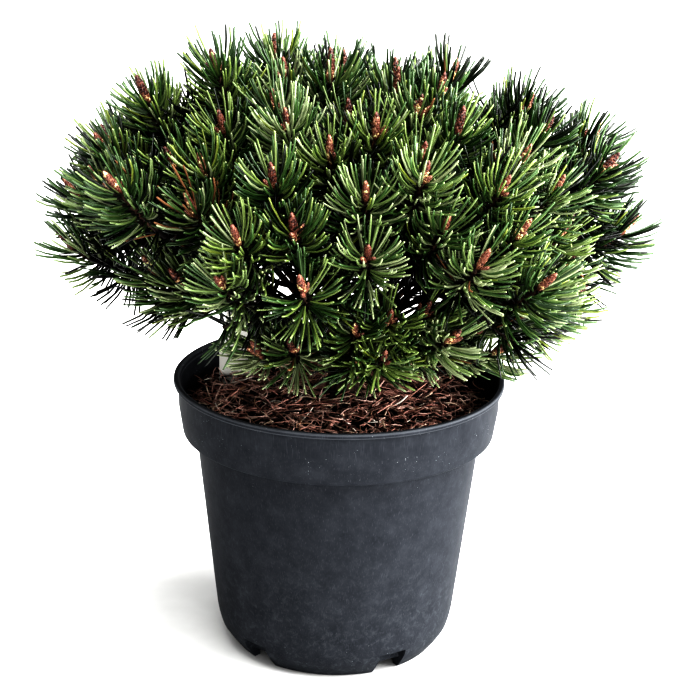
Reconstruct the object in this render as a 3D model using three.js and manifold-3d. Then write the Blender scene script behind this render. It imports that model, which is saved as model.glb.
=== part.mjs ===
// A mugo pine in a round nursery pot, in millimetres, +Z up.
// The origin is on the pot's axis, at the level that the pot stands on. The front faces -Y.
// An azimuth is counted from the front towards +X, an elevation up from the level.
import * as THREE from "three";
import { mergeVertices } from "three/addons/utils/BufferGeometryUtils.js";
import Module from "manifold-3d";

const wasm = await Module();
wasm.setup();

const CLEAR = 0.3;

// The pot: a thin moulded shell with a band under its lip, on five feet.
const POT = {
  height: 221,
  wall: 2,
  footRadius: 81.5,
  footWidth: 6,
  floorUnderside: 9,
  floorTop: 11.5,
  cornerRadius: 94.9,
  cornerHeight: 24,
  bandHeight: 178,
  bandFoot: 122.8,
  lipHeight: 216.5,
  lipRadius: 130,
  wallSlope: 0.115,
  bandSpread: 3.2,
  bandWaist: 21,
  segments: 32,
};

// The notches between the feet, each with a shallow pocket up the rounded corner.
const NOTCH = {
  count: 5,
  firstAzimuth: 30,
  width: 23,
  gapRadius: 60,
  pocketRadius: 82,
  pocketTop: 20,
  linerRadius: 89.5,
  below: 1,
  beyond: 5,
};

// The growing medium that fills the pot, a low mound round the trunk.
const SOIL = { edge: 195, mound: 7, ripple: 1.3, level: 24, segments: 24 };

// The blank label: a strip pushed into the medium, its upper panel bent back and to the right.
const LABEL = {
  x: -84,
  y: 45,
  width: 27,
  thickness: 0.8,
  buried: 12,
  lower: 28,
  upper: 46,
  overlap: 2,
  leanRight: 10,
  leanBack: 14,
  turn: -8,
};

const TRUNK = {
  foot: [3, 5],
  top: [-3, 4, 268],
  footRadius: 12,
  topRadius: 9.5,
  flare: 5,
  flareFall: 9,
  sides: 10,
  steps: 8,
};

// The crown: a flat-topped dome about its heart, where the boughs' cones meet.
const CROWN = {
  heart: new THREE.Vector3(0, 0, 250),
  halfWidth: 211,
  halfDepth: 190,
  rise: 217,
  squareness: 3,
  skirt: 223,
  skirtRise: 0.37,
  skirtTilt: 0.09,
  floor: 227,
};

// Each bough: its name, azimuth, elevation, and its reach as a share of the dome's.
const BOUGHS = [
  ["top_left", -93, 76, 0.98],
  ["top_right", 77, 67, 0.97],
  ["left_top", -121, 59, 0.86],
  ["left_high", -83, 49, 1.02],
  ["left_side", -94, 27, 1.05],
  ["front_left_high", -51, 47, 0.91],
  ["front_left", -60, 35, 1.04],
  ["front_left_low", -57, 23, 0.77],
  ["front_middle", -15, 36, 0.98],
  ["front_high", 9, 61, 0.92],
  ["front_right_high", 40, 55, 0.95],
  ["front_right", 17, 46, 0.97],
  ["front_low", 22, 22, 0.78],
  ["right_front", 52, 45, 1],
  ["right_front_low", 40, 32, 0.99],
  ["right_high", 91, 50, 0.96],
  ["right_side", 93, 37, 1.12],
  ["right_low", 78, 19, 0.86],
  ["low_left", -30, 9, 0.67],
  ["low_middle", 10, 10, 0.74],
  ["low_right", 50, 6, 0.71],
  ["back_high", 173, 47, 0.96],
  ["back_left", -146, 24, 1],
  ["back_right", 131, 23, 0.94],
  ["back_low", 183, 17, 0.84],
];

const BOUGH = {
  lowest: 207,
  highest: 262,
  baseRadius: 2.8,
  tipRadius: 2.3,
  end: 0.4,
  bend: 0.3,
  sides: 5,
  steps: 3,
};

// A mass: a stem that carries its bough on, with the twigs' forks between two shares of its length.
const MASS = {
  stemEnd: 0.62,
  stemRadius: 2.3,
  stemTip: 2.1,
  stemSides: 5,
  lowestFork: 0.47,
  highestFork: 0.61,
  margin: 0.5,
};

// A shoot: a bare twig, then bands of needles standing out of it, then the winter bud.
const SHOOT = {
  firstSeed: 3887,
  seedStep: 131,
  solidAngle: 0.04,
  spiralStart: 0.3,
  turnChance: 0.5,
  spread: 32,
  lag: 0.09,
  lift: 0.5,
  borderGap: 5,
  twigRadius: 1.7,
  needleZone: 40,
  zoneRadius: 3.1,
  twigBands: 1,
  needleBands: 4,
  needleLength: 41,
  lengthChance: 0.24,
  needleGap: 3,
  lowNeedle: 62,
  highNeedle: 33,
  leanChance: 6,
  budWaist: 0.3,
  budRadius: 3.6,
  budLength: 20,
};

// The shares of its full length that a needle may have, and where along it its room is tested.
const NEEDLE_SHARES = [1, 0.8, 0.6, 0.45];
const TESTED_SHARES = [0.25, 0.45, 0.65, 0.85, 1];

const GOLDEN_ANGLE = Math.PI * (3 - Math.sqrt(5));

const material = (color, roughness) => new THREE.MeshStandardMaterial({ color, roughness, metalness: 0 });
const MATERIALS = {
  pot: material("#2b2f34", 0.55),
  soil: material("#6b3a2a", 0.95),
  label: material("#e9e6d8", 0.5),
  bark: material("#4a3328", 0.9),
  foliage: material("#3f6b2e", 0.6),
};

const radians = (degrees) => THREE.MathUtils.degToRad(degrees);

/** Numbers from 0 to 1 that are the same on every run. */
function seededRandom(seed) {
  let state = seed;
  return () => {
    state = (state * 48271) % 2147483647;
    return state / 2147483647;
  };
}

/** The unit vector of an azimuth and an elevation in degrees. */
function directionOf(azimuth, elevation) {
  const level = Math.cos(radians(elevation));
  return new THREE.Vector3(
    level * Math.sin(radians(azimuth)),
    -level * Math.cos(radians(azimuth)),
    Math.sin(radians(elevation)),
  );
}

/** A closed geometry as a solid for joining and cutting. */
function solidOf(geometry) {
  const bare = geometry.clone();
  bare.deleteAttribute("normal");
  bare.deleteAttribute("uv");
  const merged = mergeVertices(bare, 1e-4);
  return new wasm.Manifold(
    new wasm.Mesh({
      numProp: 3,
      vertProperties: merged.attributes.position.array,
      triVerts: new Uint32Array(merged.index.array),
    }),
  );
}

/** A named mesh of a solid. */
function meshOf(name, solid, look) {
  const { vertProperties, triVerts } = solid.getMesh();
  const geometry = new THREE.BufferGeometry();
  geometry.setAttribute("position", new THREE.BufferAttribute(vertProperties, 3));
  geometry.setIndex(new THREE.BufferAttribute(triVerts, 1));
  geometry.computeVertexNormals();
  const mesh = new THREE.Mesh(geometry, look);
  mesh.name = name;
  return mesh;
}

/** A profile of [radius, height] points turned about the Z axis. */
function turned(profile, segments) {
  const points = profile.map(([radius, height]) => new THREE.Vector2(radius, height));
  return new THREE.LatheGeometry(points, segments).rotateX(Math.PI / 2);
}

/** A box with its foot at a height, turned to an azimuth, from one radius out to another. */
function radialBox(azimuth, inner, outer, width, bottom, top) {
  const box = new THREE.BoxGeometry(width, outer - inner, top - bottom);
  box.translate(0, -(inner + outer) / 2, (bottom + top) / 2);
  return box.rotateZ(radians(azimuth));
}

/** The vector across a curve that bends in one plane. */
function sideOf(curve) {
  const chord = new THREE.Vector3().subVectors(curve.v2, curve.v0);
  const side = new THREE.Vector3().subVectors(curve.v1, curve.v0).cross(chord);
  if (side.length() < 1e-3 * chord.lengthSq()) side.set(1, 0, 0).cross(chord);
  return side.normalize();
}

/** A round limb along a curve: a cylinder bent to it, with its radius given along the way. */
function limbAlong(curve, radiusAt, sides, steps) {
  const limb = new THREE.CylinderGeometry(1, 1, 1, sides, steps);
  const side = sideOf(curve);
  const place = limb.attributes.position;
  for (let i = 0; i < place.count; i++) {
    const along = Math.min(Math.max(place.getY(i) + 0.5, 0), 1);
    const other = new THREE.Vector3().crossVectors(side, curve.getTangent(along));
    const point = curve
      .getPoint(along)
      .addScaledVector(side, place.getX(i) * radiusAt(along))
      .addScaledVector(other, place.getZ(i) * radiusAt(along));
    place.setXYZ(i, point.x, point.y, point.z);
  }
  return limb;
}

/** The outer radius of the pot's plain wall at a height. */
function wallRadius(height) {
  return POT.cornerRadius + POT.wallSlope * (height - POT.cornerHeight);
}

/** The pot: shell, lip and band turned in one piece, with the notches cut between the feet. */
function potSolid() {
  const { wall, height, bandHeight, bandFoot, lipHeight, lipRadius, footRadius } = POT;
  const shoulder = wallRadius(bandHeight - 1);
  const waist = [bandFoot + POT.bandSpread, bandHeight + POT.bandWaist];
  const profile = [
    [0, POT.floorUnderside],
    [footRadius - POT.footWidth, POT.floorUnderside],
    [footRadius - POT.footWidth, 0],
    [footRadius, 0],
    [footRadius + 6, 7.5],
    [footRadius + 10.5, 14.5],
    [POT.cornerRadius, POT.cornerHeight],
    [shoulder, bandHeight - 1],
    [bandFoot - 0.8, bandHeight - 0.6],
    [bandFoot, bandHeight + 1],
    waist,
    [lipRadius - 3.2, lipHeight - 2],
    [lipRadius - 0.6, lipHeight],
    [lipRadius, lipHeight + 2],
    [lipRadius, height - 1.5],
    [lipRadius - 1, height],
    [lipRadius - 4, height],
    [lipRadius - 5.4, height - 2],
    [waist[0] - wall, waist[1]],
    [bandFoot - wall, bandHeight + 2],
    [shoulder - wall, bandHeight + 0.5],
    [POT.cornerRadius - wall, POT.cornerHeight],
    [footRadius + 4, POT.floorTop + 2],
    [footRadius - 2, POT.floorTop],
    [0, POT.floorTop],
  ];
  let pot = solidOf(turned(profile, POT.segments));
  const { width, below, gapRadius, pocketRadius, pocketTop } = NOTCH;
  const outside = POT.cornerRadius + NOTCH.beyond;
  const fill = solidOf(turned(cornerFill(), POT.segments));
  for (let i = 0; i < NOTCH.count; i++) {
    const azimuth = NOTCH.firstAzimuth + (360 / NOTCH.count) * i;
    const liner = radialBox(
      azimuth,
      pocketRadius - wall,
      NOTCH.linerRadius,
      width + 2 * wall,
      POT.floorUnderside + 0.5,
      pocketTop + wall,
    );
    const pocket = radialBox(azimuth, pocketRadius, outside, width, -below, pocketTop);
    const gap = radialBox(azimuth, gapRadius, outside, width, -below, POT.floorUnderside);
    pot = pot.add(solidOf(liner).intersect(fill)).subtract(solidOf(pocket)).subtract(solidOf(gap));
  }
  return pot;
}

/** The profile of everything inside the pot's outer corner, which bounds the pockets' liners. */
function cornerFill() {
  return [
    [0, POT.floorUnderside],
    [POT.footRadius, POT.floorUnderside],
    [POT.footRadius + 10, 14.5],
    [POT.cornerRadius - 0.5, POT.cornerHeight],
    [0, POT.cornerHeight],
  ];
}

/** The height of the medium at a place in the pot, level round the trunk. */
function soilHeight(x, y) {
  const radius = Math.hypot(x, y);
  const share = Math.min(Math.max((radius - SOIL.level) / 20, 0), 1);
  const ripple = Math.sin(0.13 * x + 0.6) * Math.cos(0.11 * y) + 0.6 * Math.sin(0.07 * (x - 2 * y));
  const mound = SOIL.mound * (1 - (Math.max(radius, SOIL.level) / wallRadius(SOIL.edge)) ** 2);
  return SOIL.edge + mound + SOIL.ripple * share * ripple;
}

/** The growing medium: it fills the pot to the mound, clear of the wall and the pockets. */
function soilSolid() {
  const inset = POT.wall + CLEAR + 0.4;
  const low = NOTCH.pocketRadius - POT.wall - 2;
  const rim = POT.bandFoot + 1.4 - inset;
  const rings = [0.85, 0.65, 0.45, SOIL.level / rim].map((share) => [share * rim, SOIL.edge]);
  const profile = [
    [0, POT.floorTop + CLEAR],
    [low, POT.floorTop + CLEAR + 0.2],
    [low, NOTCH.pocketTop + 4],
    [wallRadius(POT.cornerHeight + 4) - inset, POT.cornerHeight + 4],
    [wallRadius(POT.bandHeight) - inset - 0.4, POT.bandHeight + 0.9],
    [POT.bandFoot - inset - 0.5, POT.bandHeight + 4],
    [rim, SOIL.edge],
    ...rings,
    [0, SOIL.edge],
  ];
  const geometry = turned(profile, SOIL.segments);
  const place = geometry.attributes.position;
  for (let i = 0; i < place.count; i++) {
    if (place.getZ(i) < SOIL.edge - 0.01) continue;
    place.setZ(i, soilHeight(place.getX(i), place.getY(i)));
  }
  const slot = labelPanel(LABEL.width + 2 * CLEAR, LABEL.thickness + 2 * CLEAR, LABEL.lower, CLEAR);
  return solidOf(geometry).subtract(solidOf(slot));
}

/** The label's lower panel, from its buried foot up, with its foot lowered by a gap. */
function labelPanel(width, thickness, above, gap) {
  const height = LABEL.buried + gap + above;
  const panel = new THREE.BoxGeometry(width, thickness, height);
  panel.translate(0, 0, height / 2 - LABEL.buried - gap);
  panel.rotateZ(radians(LABEL.turn));
  return panel.translate(LABEL.x, LABEL.y, soilHeight(LABEL.x, LABEL.y));
}

/** The label: the lower panel and the upper one, which leans back and to the right. */
function labelSolid() {
  const upper = new THREE.BoxGeometry(LABEL.width, LABEL.thickness, LABEL.upper);
  upper.translate(0, 0, LABEL.upper / 2 - LABEL.overlap);
  upper.rotateX(radians(-LABEL.leanBack));
  upper.rotateY(radians(LABEL.leanRight));
  upper.rotateZ(radians(LABEL.turn));
  upper.translate(LABEL.x, LABEL.y, soilHeight(LABEL.x, LABEL.y) + LABEL.lower);
  return solidOf(labelPanel(LABEL.width, LABEL.thickness, LABEL.lower, 0)).add(solidOf(upper));
}

/** The trunk's centre line: it rises upright from the medium, then leans to its fork. */
function trunkCurve() {
  const [x, y] = TRUNK.foot;
  const foot = new THREE.Vector3(x, y, soilHeight(0, 0) + CLEAR);
  const top = new THREE.Vector3(...TRUNK.top);
  const middle = new THREE.Vector3(x, y, (foot.z + top.z) / 2);
  return new THREE.QuadraticBezierCurve3(foot, middle, top);
}

/** The trunk: a true taper with a flare at its foot, made larger by a gap where asked. */
function trunkSolid(gap) {
  const radiusAt = (along) => {
    const flare = TRUNK.flare * Math.exp(-TRUNK.flareFall * along);
    return THREE.MathUtils.lerp(TRUNK.footRadius, TRUNK.topRadius, along) + flare + gap;
  };
  const curve = trunkCurve();
  curve.v2.z += gap;
  return solidOf(limbAlong(curve, radiusAt, TRUNK.sides, TRUNK.steps));
}

/** The dome's radius from the heart along a direction. */
function crownRadius(direction) {
  const out = Math.hypot(direction.x / CROWN.halfWidth, direction.y / CROWN.halfDepth);
  const up = Math.abs(direction.z) / CROWN.rise;
  return (out ** CROWN.squareness + up ** CROWN.squareness) ** (-1 / CROWN.squareness);
}

/** The height under which no shoot hangs: it rises outwards, and more so to the left. */
function skirtHeight(place) {
  return CROWN.skirt + CROWN.skirtRise * Math.hypot(place.x, place.y) - CROWN.skirtTilt * place.x;
}

/** Every bough with its direction and the length from the heart to its leading shoot. */
const boughs = BOUGHS.map(([name, azimuth, elevation, reach], index) => {
  const direction = directionOf(azimuth, elevation);
  return { name, index, azimuth, elevation, reach, direction, length: reach * crownRadius(direction) };
});

/** The place on a bough's cone axis at a share of its length. */
function onAxis(bough, share) {
  return CROWN.heart.clone().addScaledVector(bough.direction, share * bough.length);
}

/** The bough's centre line: it leaves the trunk at a height set by its elevation and curves out. */
function boughCurve(bough) {
  const height = THREE.MathUtils.mapLinear(bough.elevation, 0, 75, BOUGH.lowest, BOUGH.highest);
  const trunk = trunkCurve();
  const foot = trunk.getPoint((height - trunk.v0.z) / (trunk.v2.z - trunk.v0.z));
  const tip = onAxis(bough, BOUGH.end);
  const bend = tip.clone().addScaledVector(bough.direction, -BOUGH.bend * foot.distanceTo(tip));
  return new THREE.QuadraticBezierCurve3(foot, bend, tip);
}

/** The bough: one tapering limb, cut clear of the trunk. */
function boughSolid(bough, trunkRoom) {
  const radiusAt = (along) => THREE.MathUtils.lerp(BOUGH.baseRadius, BOUGH.tipRadius, along);
  return solidOf(limbAlong(boughCurve(bough), radiusAt, BOUGH.sides, BOUGH.steps)).subtract(trunkRoom);
}

/** Whether a place lies in the bough's own cone, at least a margin from its neighbours'. */
function inOwnSpace(bough, place, margin) {
  const out = place.clone().sub(CROWN.heart);
  return boughs.every((other) => {
    if (other === bough) return true;
    const across = new THREE.Vector3().subVectors(bough.direction, other.direction).normalize();
    return out.dot(across) > margin;
  });
}

/** The shoots of a mass: a spiral about the bough's direction that fills the bough's cone. */
function shootsOf(bough) {
  const random = seededRandom(SHOOT.firstSeed + SHOOT.seedStep * bough.index);
  const side = new THREE.Vector3(0, 0, 1).cross(bough.direction).normalize();
  const over = new THREE.Vector3().crossVectors(bough.direction, side);
  const firstTurn = 2 * Math.PI * random();
  const shoots = [];
  for (let k = 0; ; k++) {
    const cosine = 1 - ((k + SHOOT.spiralStart) * SHOOT.solidAngle) / (2 * Math.PI);
    if (cosine < Math.cos(radians(SHOOT.spread))) return shoots;
    const turn = firstTurn + k * GOLDEN_ANGLE + SHOOT.turnChance * (random() - 0.5);
    const sine = Math.sqrt(1 - cosine * cosine);
    const direction = bough.direction
      .clone()
      .multiplyScalar(cosine)
      .addScaledVector(side, sine * Math.cos(turn))
      .addScaledVector(over, sine * Math.sin(turn));
    const length = bough.reach * crownRadius(direction) * (1 - SHOOT.lag * random());
    const tip = CROWN.heart.clone().addScaledVector(direction, length);
    const axis = direction.clone().addScaledVector(new THREE.Vector3(0, 0, 1), SHOOT.lift).normalize();
    const seed = 1 + Math.floor(1e6 * random());
    if (tip.z < skirtHeight(tip)) continue;
    if (!inOwnSpace(bough, tip, SHOOT.borderGap)) continue;
    shoots.push({ tip, axis, seed, out: sine / Math.sin(radians(SHOOT.spread)) });
  }
}

/** The centre line of a shoot's twig, from its fork on the mass's stem to the shoot's tip. */
function twigCurve(bough, shoot) {
  const share = THREE.MathUtils.lerp(MASS.highestFork, MASS.lowestFork, shoot.out);
  const fork = onAxis(bough, share);
  const reach = fork.distanceTo(shoot.tip);
  const bend = shoot.tip.clone().addScaledVector(shoot.axis, -0.5 * reach);
  return new THREE.QuadraticBezierCurve3(fork, bend, shoot.tip);
}

/** A shoot's twig and bud as straight stretches. */
function twigStretches(bough, shoot) {
  const curve = twigCurve(bough, shoot);
  const bud = shoot.tip.clone().addScaledVector(shoot.axis, SHOOT.budLength);
  const stops = [...curve.getPoints(3), bud];
  return stops.slice(1).map((stop, i) => new THREE.Line3(stops[i], stop));
}

/** Whether a stretch keeps clear of all the stretches that already stand, sampled along it. */
function standsClear(stretch, others) {
  const near = new THREE.Vector3();
  return TESTED_SHARES.every((share) => {
    const place = stretch.at(share, new THREE.Vector3());
    return others.every((other) => {
      return other.closestPointToPoint(place, true, near).distanceTo(place) > SHOOT.needleGap;
    });
  });
}

/** A needle as long as fits its space and its neighbours, or null where not even half does. */
function fittingNeedle(bough, root, needle, others) {
  for (const share of NEEDLE_SHARES) {
    const stretch = new THREE.Line3(root, root.clone().addScaledVector(needle, share));
    const inside = stretch.end.z > CROWN.floor && inOwnSpace(bough, stretch.end, MASS.margin);
    if (inside && standsClear(stretch, others)) return stretch;
  }
  return null;
}

/** The run of a needle from its root on a shoot's core, by its height in the needle zone. */
function needleRun(root, centre, tangent, height, random) {
  const mean = THREE.MathUtils.lerp(SHOOT.lowNeedle, SHOOT.highNeedle, height);
  const lean = mean + SHOOT.leanChance * (random() - 0.5);
  const length = SHOOT.needleLength * (1 + SHOOT.lengthChance * (random() - 0.5));
  const out = root.clone().sub(centre);
  out.addScaledVector(tangent, -out.dot(tangent)).normalize();
  const needle = out.multiplyScalar(length * Math.sin(radians(lean)));
  return needle.addScaledVector(tangent, length * Math.cos(radians(lean)));
}

/**
 * A shoot: three-sided rings along the twig, each turned half a side from the last, so that
 * every band has six triangles. In the needle zone each triangle is drawn out into a needle,
 * and the last ring is drawn out into the winter bud. The others are the mass's other twigs
 * and the needles of its earlier shoots, and this shoot's needles join the standing ones.
 */
function shootGeometry(bough, shoot, others, standing) {
  const random = seededRandom(shoot.seed);
  const curve = twigCurve(bough, shoot);
  const side = sideOf(curve);
  const zone = 1 - SHOOT.needleZone / curve.getLength();
  const bands = SHOOT.twigBands + SHOOT.needleBands;
  const points = [];
  const triangles = [];
  const addRing = (centre, tangent, radius) => {
    const other = new THREE.Vector3().crossVectors(tangent, side);
    const ring = points.length / 3;
    for (let k = 0; k < 3; k++) {
      const angle = ((2 * k + ring) * Math.PI) / 3;
      const point = centre.clone().addScaledVector(side, radius * Math.cos(angle));
      points.push(point.addScaledVector(other, radius * Math.sin(angle)));
    }
  };
  const zoneAt = (band) => zone + (1 - zone) * (band / SHOOT.needleBands);
  for (let band = 0; band < SHOOT.twigBands; band++) {
    const along = (zone * band) / SHOOT.twigBands;
    addRing(curve.getPointAt(along), curve.getTangentAt(along), SHOOT.twigRadius);
  }
  for (let band = 0; band <= SHOOT.needleBands; band++) {
    addRing(curve.getPointAt(zoneAt(band)), curve.getTangentAt(zoneAt(band)), SHOOT.zoneRadius);
  }
  const budWaist = shoot.tip.clone().addScaledVector(shoot.axis, SHOOT.budWaist * SHOOT.budLength);
  addRing(budWaist, shoot.axis, SHOOT.budRadius);
  const budTip = points.push(shoot.tip.clone().addScaledVector(shoot.axis, SHOOT.budLength)) - 1;

  triangles.push(2, 1, 0);
  for (let k = 0; k < 3; k++) triangles.push(budTip - 3 + k, budTip - 3 + ((k + 1) % 3), budTip);
  for (let band = 0; band <= bands; band++) {
    const height = (band - SHOOT.twigBands + 0.5) / SHOOT.needleBands;
    const along = Math.min(zoneAt(height * SHOOT.needleBands), 1);
    const centre = curve.getPointAt(along);
    const tangent = curve.getTangentAt(along);
    for (let k = 0; k < 3; k++) {
      const next = (k + 1) % 3;
      const faces = [
        [3 * band + k, 3 * band + next, 3 * band + 3 + k],
        [3 * band + next, 3 * band + 3 + next, 3 * band + 3 + k],
      ];
      for (const face of faces) {
        const root = new THREE.Vector3();
        for (const corner of face) root.addScaledVector(points[corner], 1 / 3);
        const run = needleRun(root, centre, tangent, height, random);
        const bare = height < 0 || height > 1;
        const needle = bare ? null : fittingNeedle(bough, root, run, others);
        if (needle) {
          const apex = points.push(needle.end) - 1;
          for (let i = 0; i < 3; i++) triangles.push(face[i], face[(i + 1) % 3], apex);
          standing.push(needle);
        } else {
          triangles.push(...face);
        }
      }
    }
  }
  return new THREE.BufferGeometry().setFromPoints(points).setIndex(triangles);
}

/** A mass: a stem clear of its bough's tip, with all its shoots fused on, and no loose scrap. */
function massSolid(bough) {
  const foot = onAxis(bough, BOUGH.end).addScaledVector(bough.direction, CLEAR);
  const top = onAxis(bough, MASS.stemEnd);
  const middle = new THREE.Vector3().addVectors(foot, top).multiplyScalar(0.5);
  const radiusAt = (along) => THREE.MathUtils.lerp(MASS.stemRadius, MASS.stemTip, along);
  const stem = new THREE.QuadraticBezierCurve3(foot, middle, top);
  let mass = solidOf(limbAlong(stem, radiusAt, MASS.stemSides, 1));
  const shoots = shootsOf(bough);
  const stretches = shoots.map((shoot) => [shoot, twigStretches(bough, shoot)]);
  const standing = [];
  for (const shoot of shoots) {
    const others = stretches.flatMap(([other, parts]) => (other === shoot ? [] : parts));
    const geometry = shootGeometry(bough, shoot, others.concat(standing), standing);
    mass = mass.add(solidOf(geometry));
  }
  return mass.decompose().reduce((most, body) => (body.volume() > most.volume() ? body : most));
}

const group = new THREE.Group();
group.name = "mugo_pine_in_pot";
group.add(meshOf("pot", potSolid(), MATERIALS.pot));
group.add(meshOf("growing_medium", soilSolid(), MATERIALS.soil));
group.add(meshOf("plant_label", labelSolid(), MATERIALS.label));
group.add(meshOf("trunk", trunkSolid(0), MATERIALS.bark));

const limbs = new THREE.Group();
const foliage = new THREE.Group();
const trunkRoom = trunkSolid(CLEAR);
for (const bough of boughs) {
  limbs.add(meshOf(`bough_${bough.name}`, boughSolid(bough, trunkRoom), MATERIALS.bark));
  foliage.add(meshOf(`mass_${bough.name}`, massSolid(bough), MATERIALS.foliage));
}
group.add(limbs, foliage);

export default group;
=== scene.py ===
"""Looks of a potted mugo pine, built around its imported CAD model.

The limbs, twigs and needles grow by the same seeded rule as the solids and are carried on to
finer shoots. Sizes are in millimetres until a mesh is made, which is in metres. The front
faces -Y. An azimuth is counted from the front towards +X, an elevation up from the level.
"""

import itertools
import logging
import math
from dataclasses import dataclass, field, replace
from enum import Enum
from typing import Any, Callable, Sequence

import bmesh
import bpy
import numpy as np
from bmesh.types import BMesh
from bpy.types import Material, Mesh, Node, NodeSocket, NodeTree, Object
from mathutils import Matrix, Vector, noise
from numpy.random import Generator


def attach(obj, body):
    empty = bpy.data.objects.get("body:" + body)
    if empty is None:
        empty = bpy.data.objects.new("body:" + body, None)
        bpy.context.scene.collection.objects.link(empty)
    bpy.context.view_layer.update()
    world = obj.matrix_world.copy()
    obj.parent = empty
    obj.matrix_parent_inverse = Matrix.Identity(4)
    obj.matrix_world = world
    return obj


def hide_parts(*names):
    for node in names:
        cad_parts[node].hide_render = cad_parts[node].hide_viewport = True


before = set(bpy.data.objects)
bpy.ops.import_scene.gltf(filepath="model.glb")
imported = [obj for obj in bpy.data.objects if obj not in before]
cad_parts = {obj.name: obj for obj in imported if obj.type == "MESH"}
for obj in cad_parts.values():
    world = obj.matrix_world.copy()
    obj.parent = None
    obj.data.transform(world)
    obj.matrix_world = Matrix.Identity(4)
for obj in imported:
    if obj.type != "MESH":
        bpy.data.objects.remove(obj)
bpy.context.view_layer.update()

LOG = logging.getLogger("mugo_pine")
MM = 0.001
BODY = "root"
UP = np.array([0.0, 0.0, 1.0])
GOLDEN_ANGLE = math.pi * (3 - math.sqrt(5))
Array = np.ndarray
Profile = Sequence[tuple[float, ...]]
Stops = Sequence[tuple[float, str]]
Girth = Callable[[float], float]
Pair = tuple[float, float]
Triple = tuple[float, float, float]


# ---- small tools


def linear(colour: str) -> tuple[float, float, float, float]:
    """Turns an sRGB hex colour to the linear values that a shader takes.

    Args:
        colour: the colour, as "#rrggbb".

    Returns:
        Linear red, green and blue, and 1 for alpha.
    """
    parts = [int(colour[i : i + 2], 16) / 255 for i in (1, 3, 5)]
    red, green, blue = (p / 12.92 if p <= 0.04045 else ((p + 0.055) / 1.055) ** 2.4 for p in parts)
    return red, green, blue, 1.0


def add_node(
    tree: NodeTree,
    kind: str,
    settings: dict[str, Any] | None = None,
    inputs: dict[str | int, Any] | None = None,
    stops: Stops = (),
) -> Node:
    """Adds a node with its settings, its values and its links.

    Args:
        tree: the node tree.
        kind: the node's type name, without "ShaderNode" in front.
        settings: attributes of the node.
        inputs: a value or a linked socket for each named or numbered input.
        stops: for a colour ramp, the place and hex colour of each stop.

    Returns:
        The new node.
    """
    node = tree.nodes.new(f"ShaderNode{kind}")
    for key, value in (settings or {}).items():
        setattr(node, key, value)
    for key, value in (inputs or {}).items():
        if isinstance(value, NodeSocket):
            tree.links.new(value, node.inputs[key])
        else:
            node.inputs[key].default_value = value
    if stops:
        elements = node.color_ramp.elements
        while len(elements) < len(stops):
            elements.new(0.5)
        for element, (place, colour) in zip(elements, stops):
            element.position = place
            element.color = linear(colour)
    return node


def shader_of(name: str, **values: Any) -> tuple[Material, NodeTree, Node]:
    """Makes a material with one Principled shader.

    Args:
        name: the material's name.
        **values: constants for the shader's sockets, with underscores for spaces.

    Returns:
        The material, its node tree and its shader.
    """
    material = bpy.data.materials.new(name)
    material.use_nodes = True
    tree = material.node_tree
    tree.nodes.clear()
    constants = {key.replace("_", " "): value for key, value in values.items()}
    shader = add_node(tree, "BsdfPrincipled", inputs=constants)
    add_node(tree, "OutputMaterial", inputs={"Surface": shader.outputs["BSDF"]})
    return material, tree, shader


def link_object(name: str, mesh: Mesh) -> Object:
    """Puts a mesh into the scene as an object at the origin.

    Args:
        name: the object's name.
        mesh: its mesh, in place and in metres.

    Returns:
        The object.
    """
    obj = bpy.data.objects.new(name, mesh)
    bpy.context.scene.collection.objects.link(obj)
    return obj


def settle(
    obj: Object, materials: Sequence[Material], replaced: Sequence[str] = ()
) -> Object:
    """Gives a piece its materials, its body and the nodes that it stands for.

    Args:
        obj: the piece, in place.
        materials: its materials, in the order of its faces' numbers.
        replaced: the CAD nodes that it replaces.

    Returns:
        The piece.
    """
    for material in materials:
        obj.data.materials.append(material)
    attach(obj, BODY)
    if replaced:
        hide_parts(*replaced)
    triangles = sum(len(face.vertices) - 2 for face in obj.data.polygons)
    LOG.info("%s: %d triangles", obj.name, triangles)
    return obj


def piece_from_bmesh(bm: BMesh, name: str, smooth: bool = True) -> Object:
    """Makes an object of a bmesh in millimetres, and frees the bmesh.

    Args:
        bm: the shape.
        name: the object's name.
        smooth: whether its faces are shaded smooth.

    Returns:
        The object.
    """
    bmesh.ops.scale(bm, vec=(MM, MM, MM), verts=bm.verts)
    for face in bm.faces:
        face.smooth = smooth
    mesh = bpy.data.meshes.new(name)
    bm.to_mesh(mesh)
    bm.free()
    return link_object(name, mesh)


def unit(vectors: Array) -> Array:
    """Vectors, one or many, scaled to length one."""
    return vectors / np.maximum(np.linalg.norm(vectors, axis=-1, keepdims=True), 1e-12)


def across(directions: Array, hint: Array) -> tuple[Array, Array]:
    """Two unit vectors square to each direction.

    Args:
        directions: unit vectors, one in each row.
        hint: vectors that aren't parallel to them.

    Returns:
        The first and second vector; first, second and direction are right-handed.
    """
    first = unit(np.cross(hint, directions))
    return first, np.cross(directions, first)


def turned_about(way: Array, angle: float, hint: Array = UP + 0.01) -> Array:
    """A unit vector square to a way, at an angle about it.

    Args:
        way: the way, of length one.
        angle: the angle in radians.
        hint: a vector that isn't parallel to the way, from which the angle is counted.

    Returns:
        The vector.
    """
    first, second = across(way[None], hint[None])
    return first[0] * math.cos(angle) + second[0] * math.sin(angle)


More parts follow.
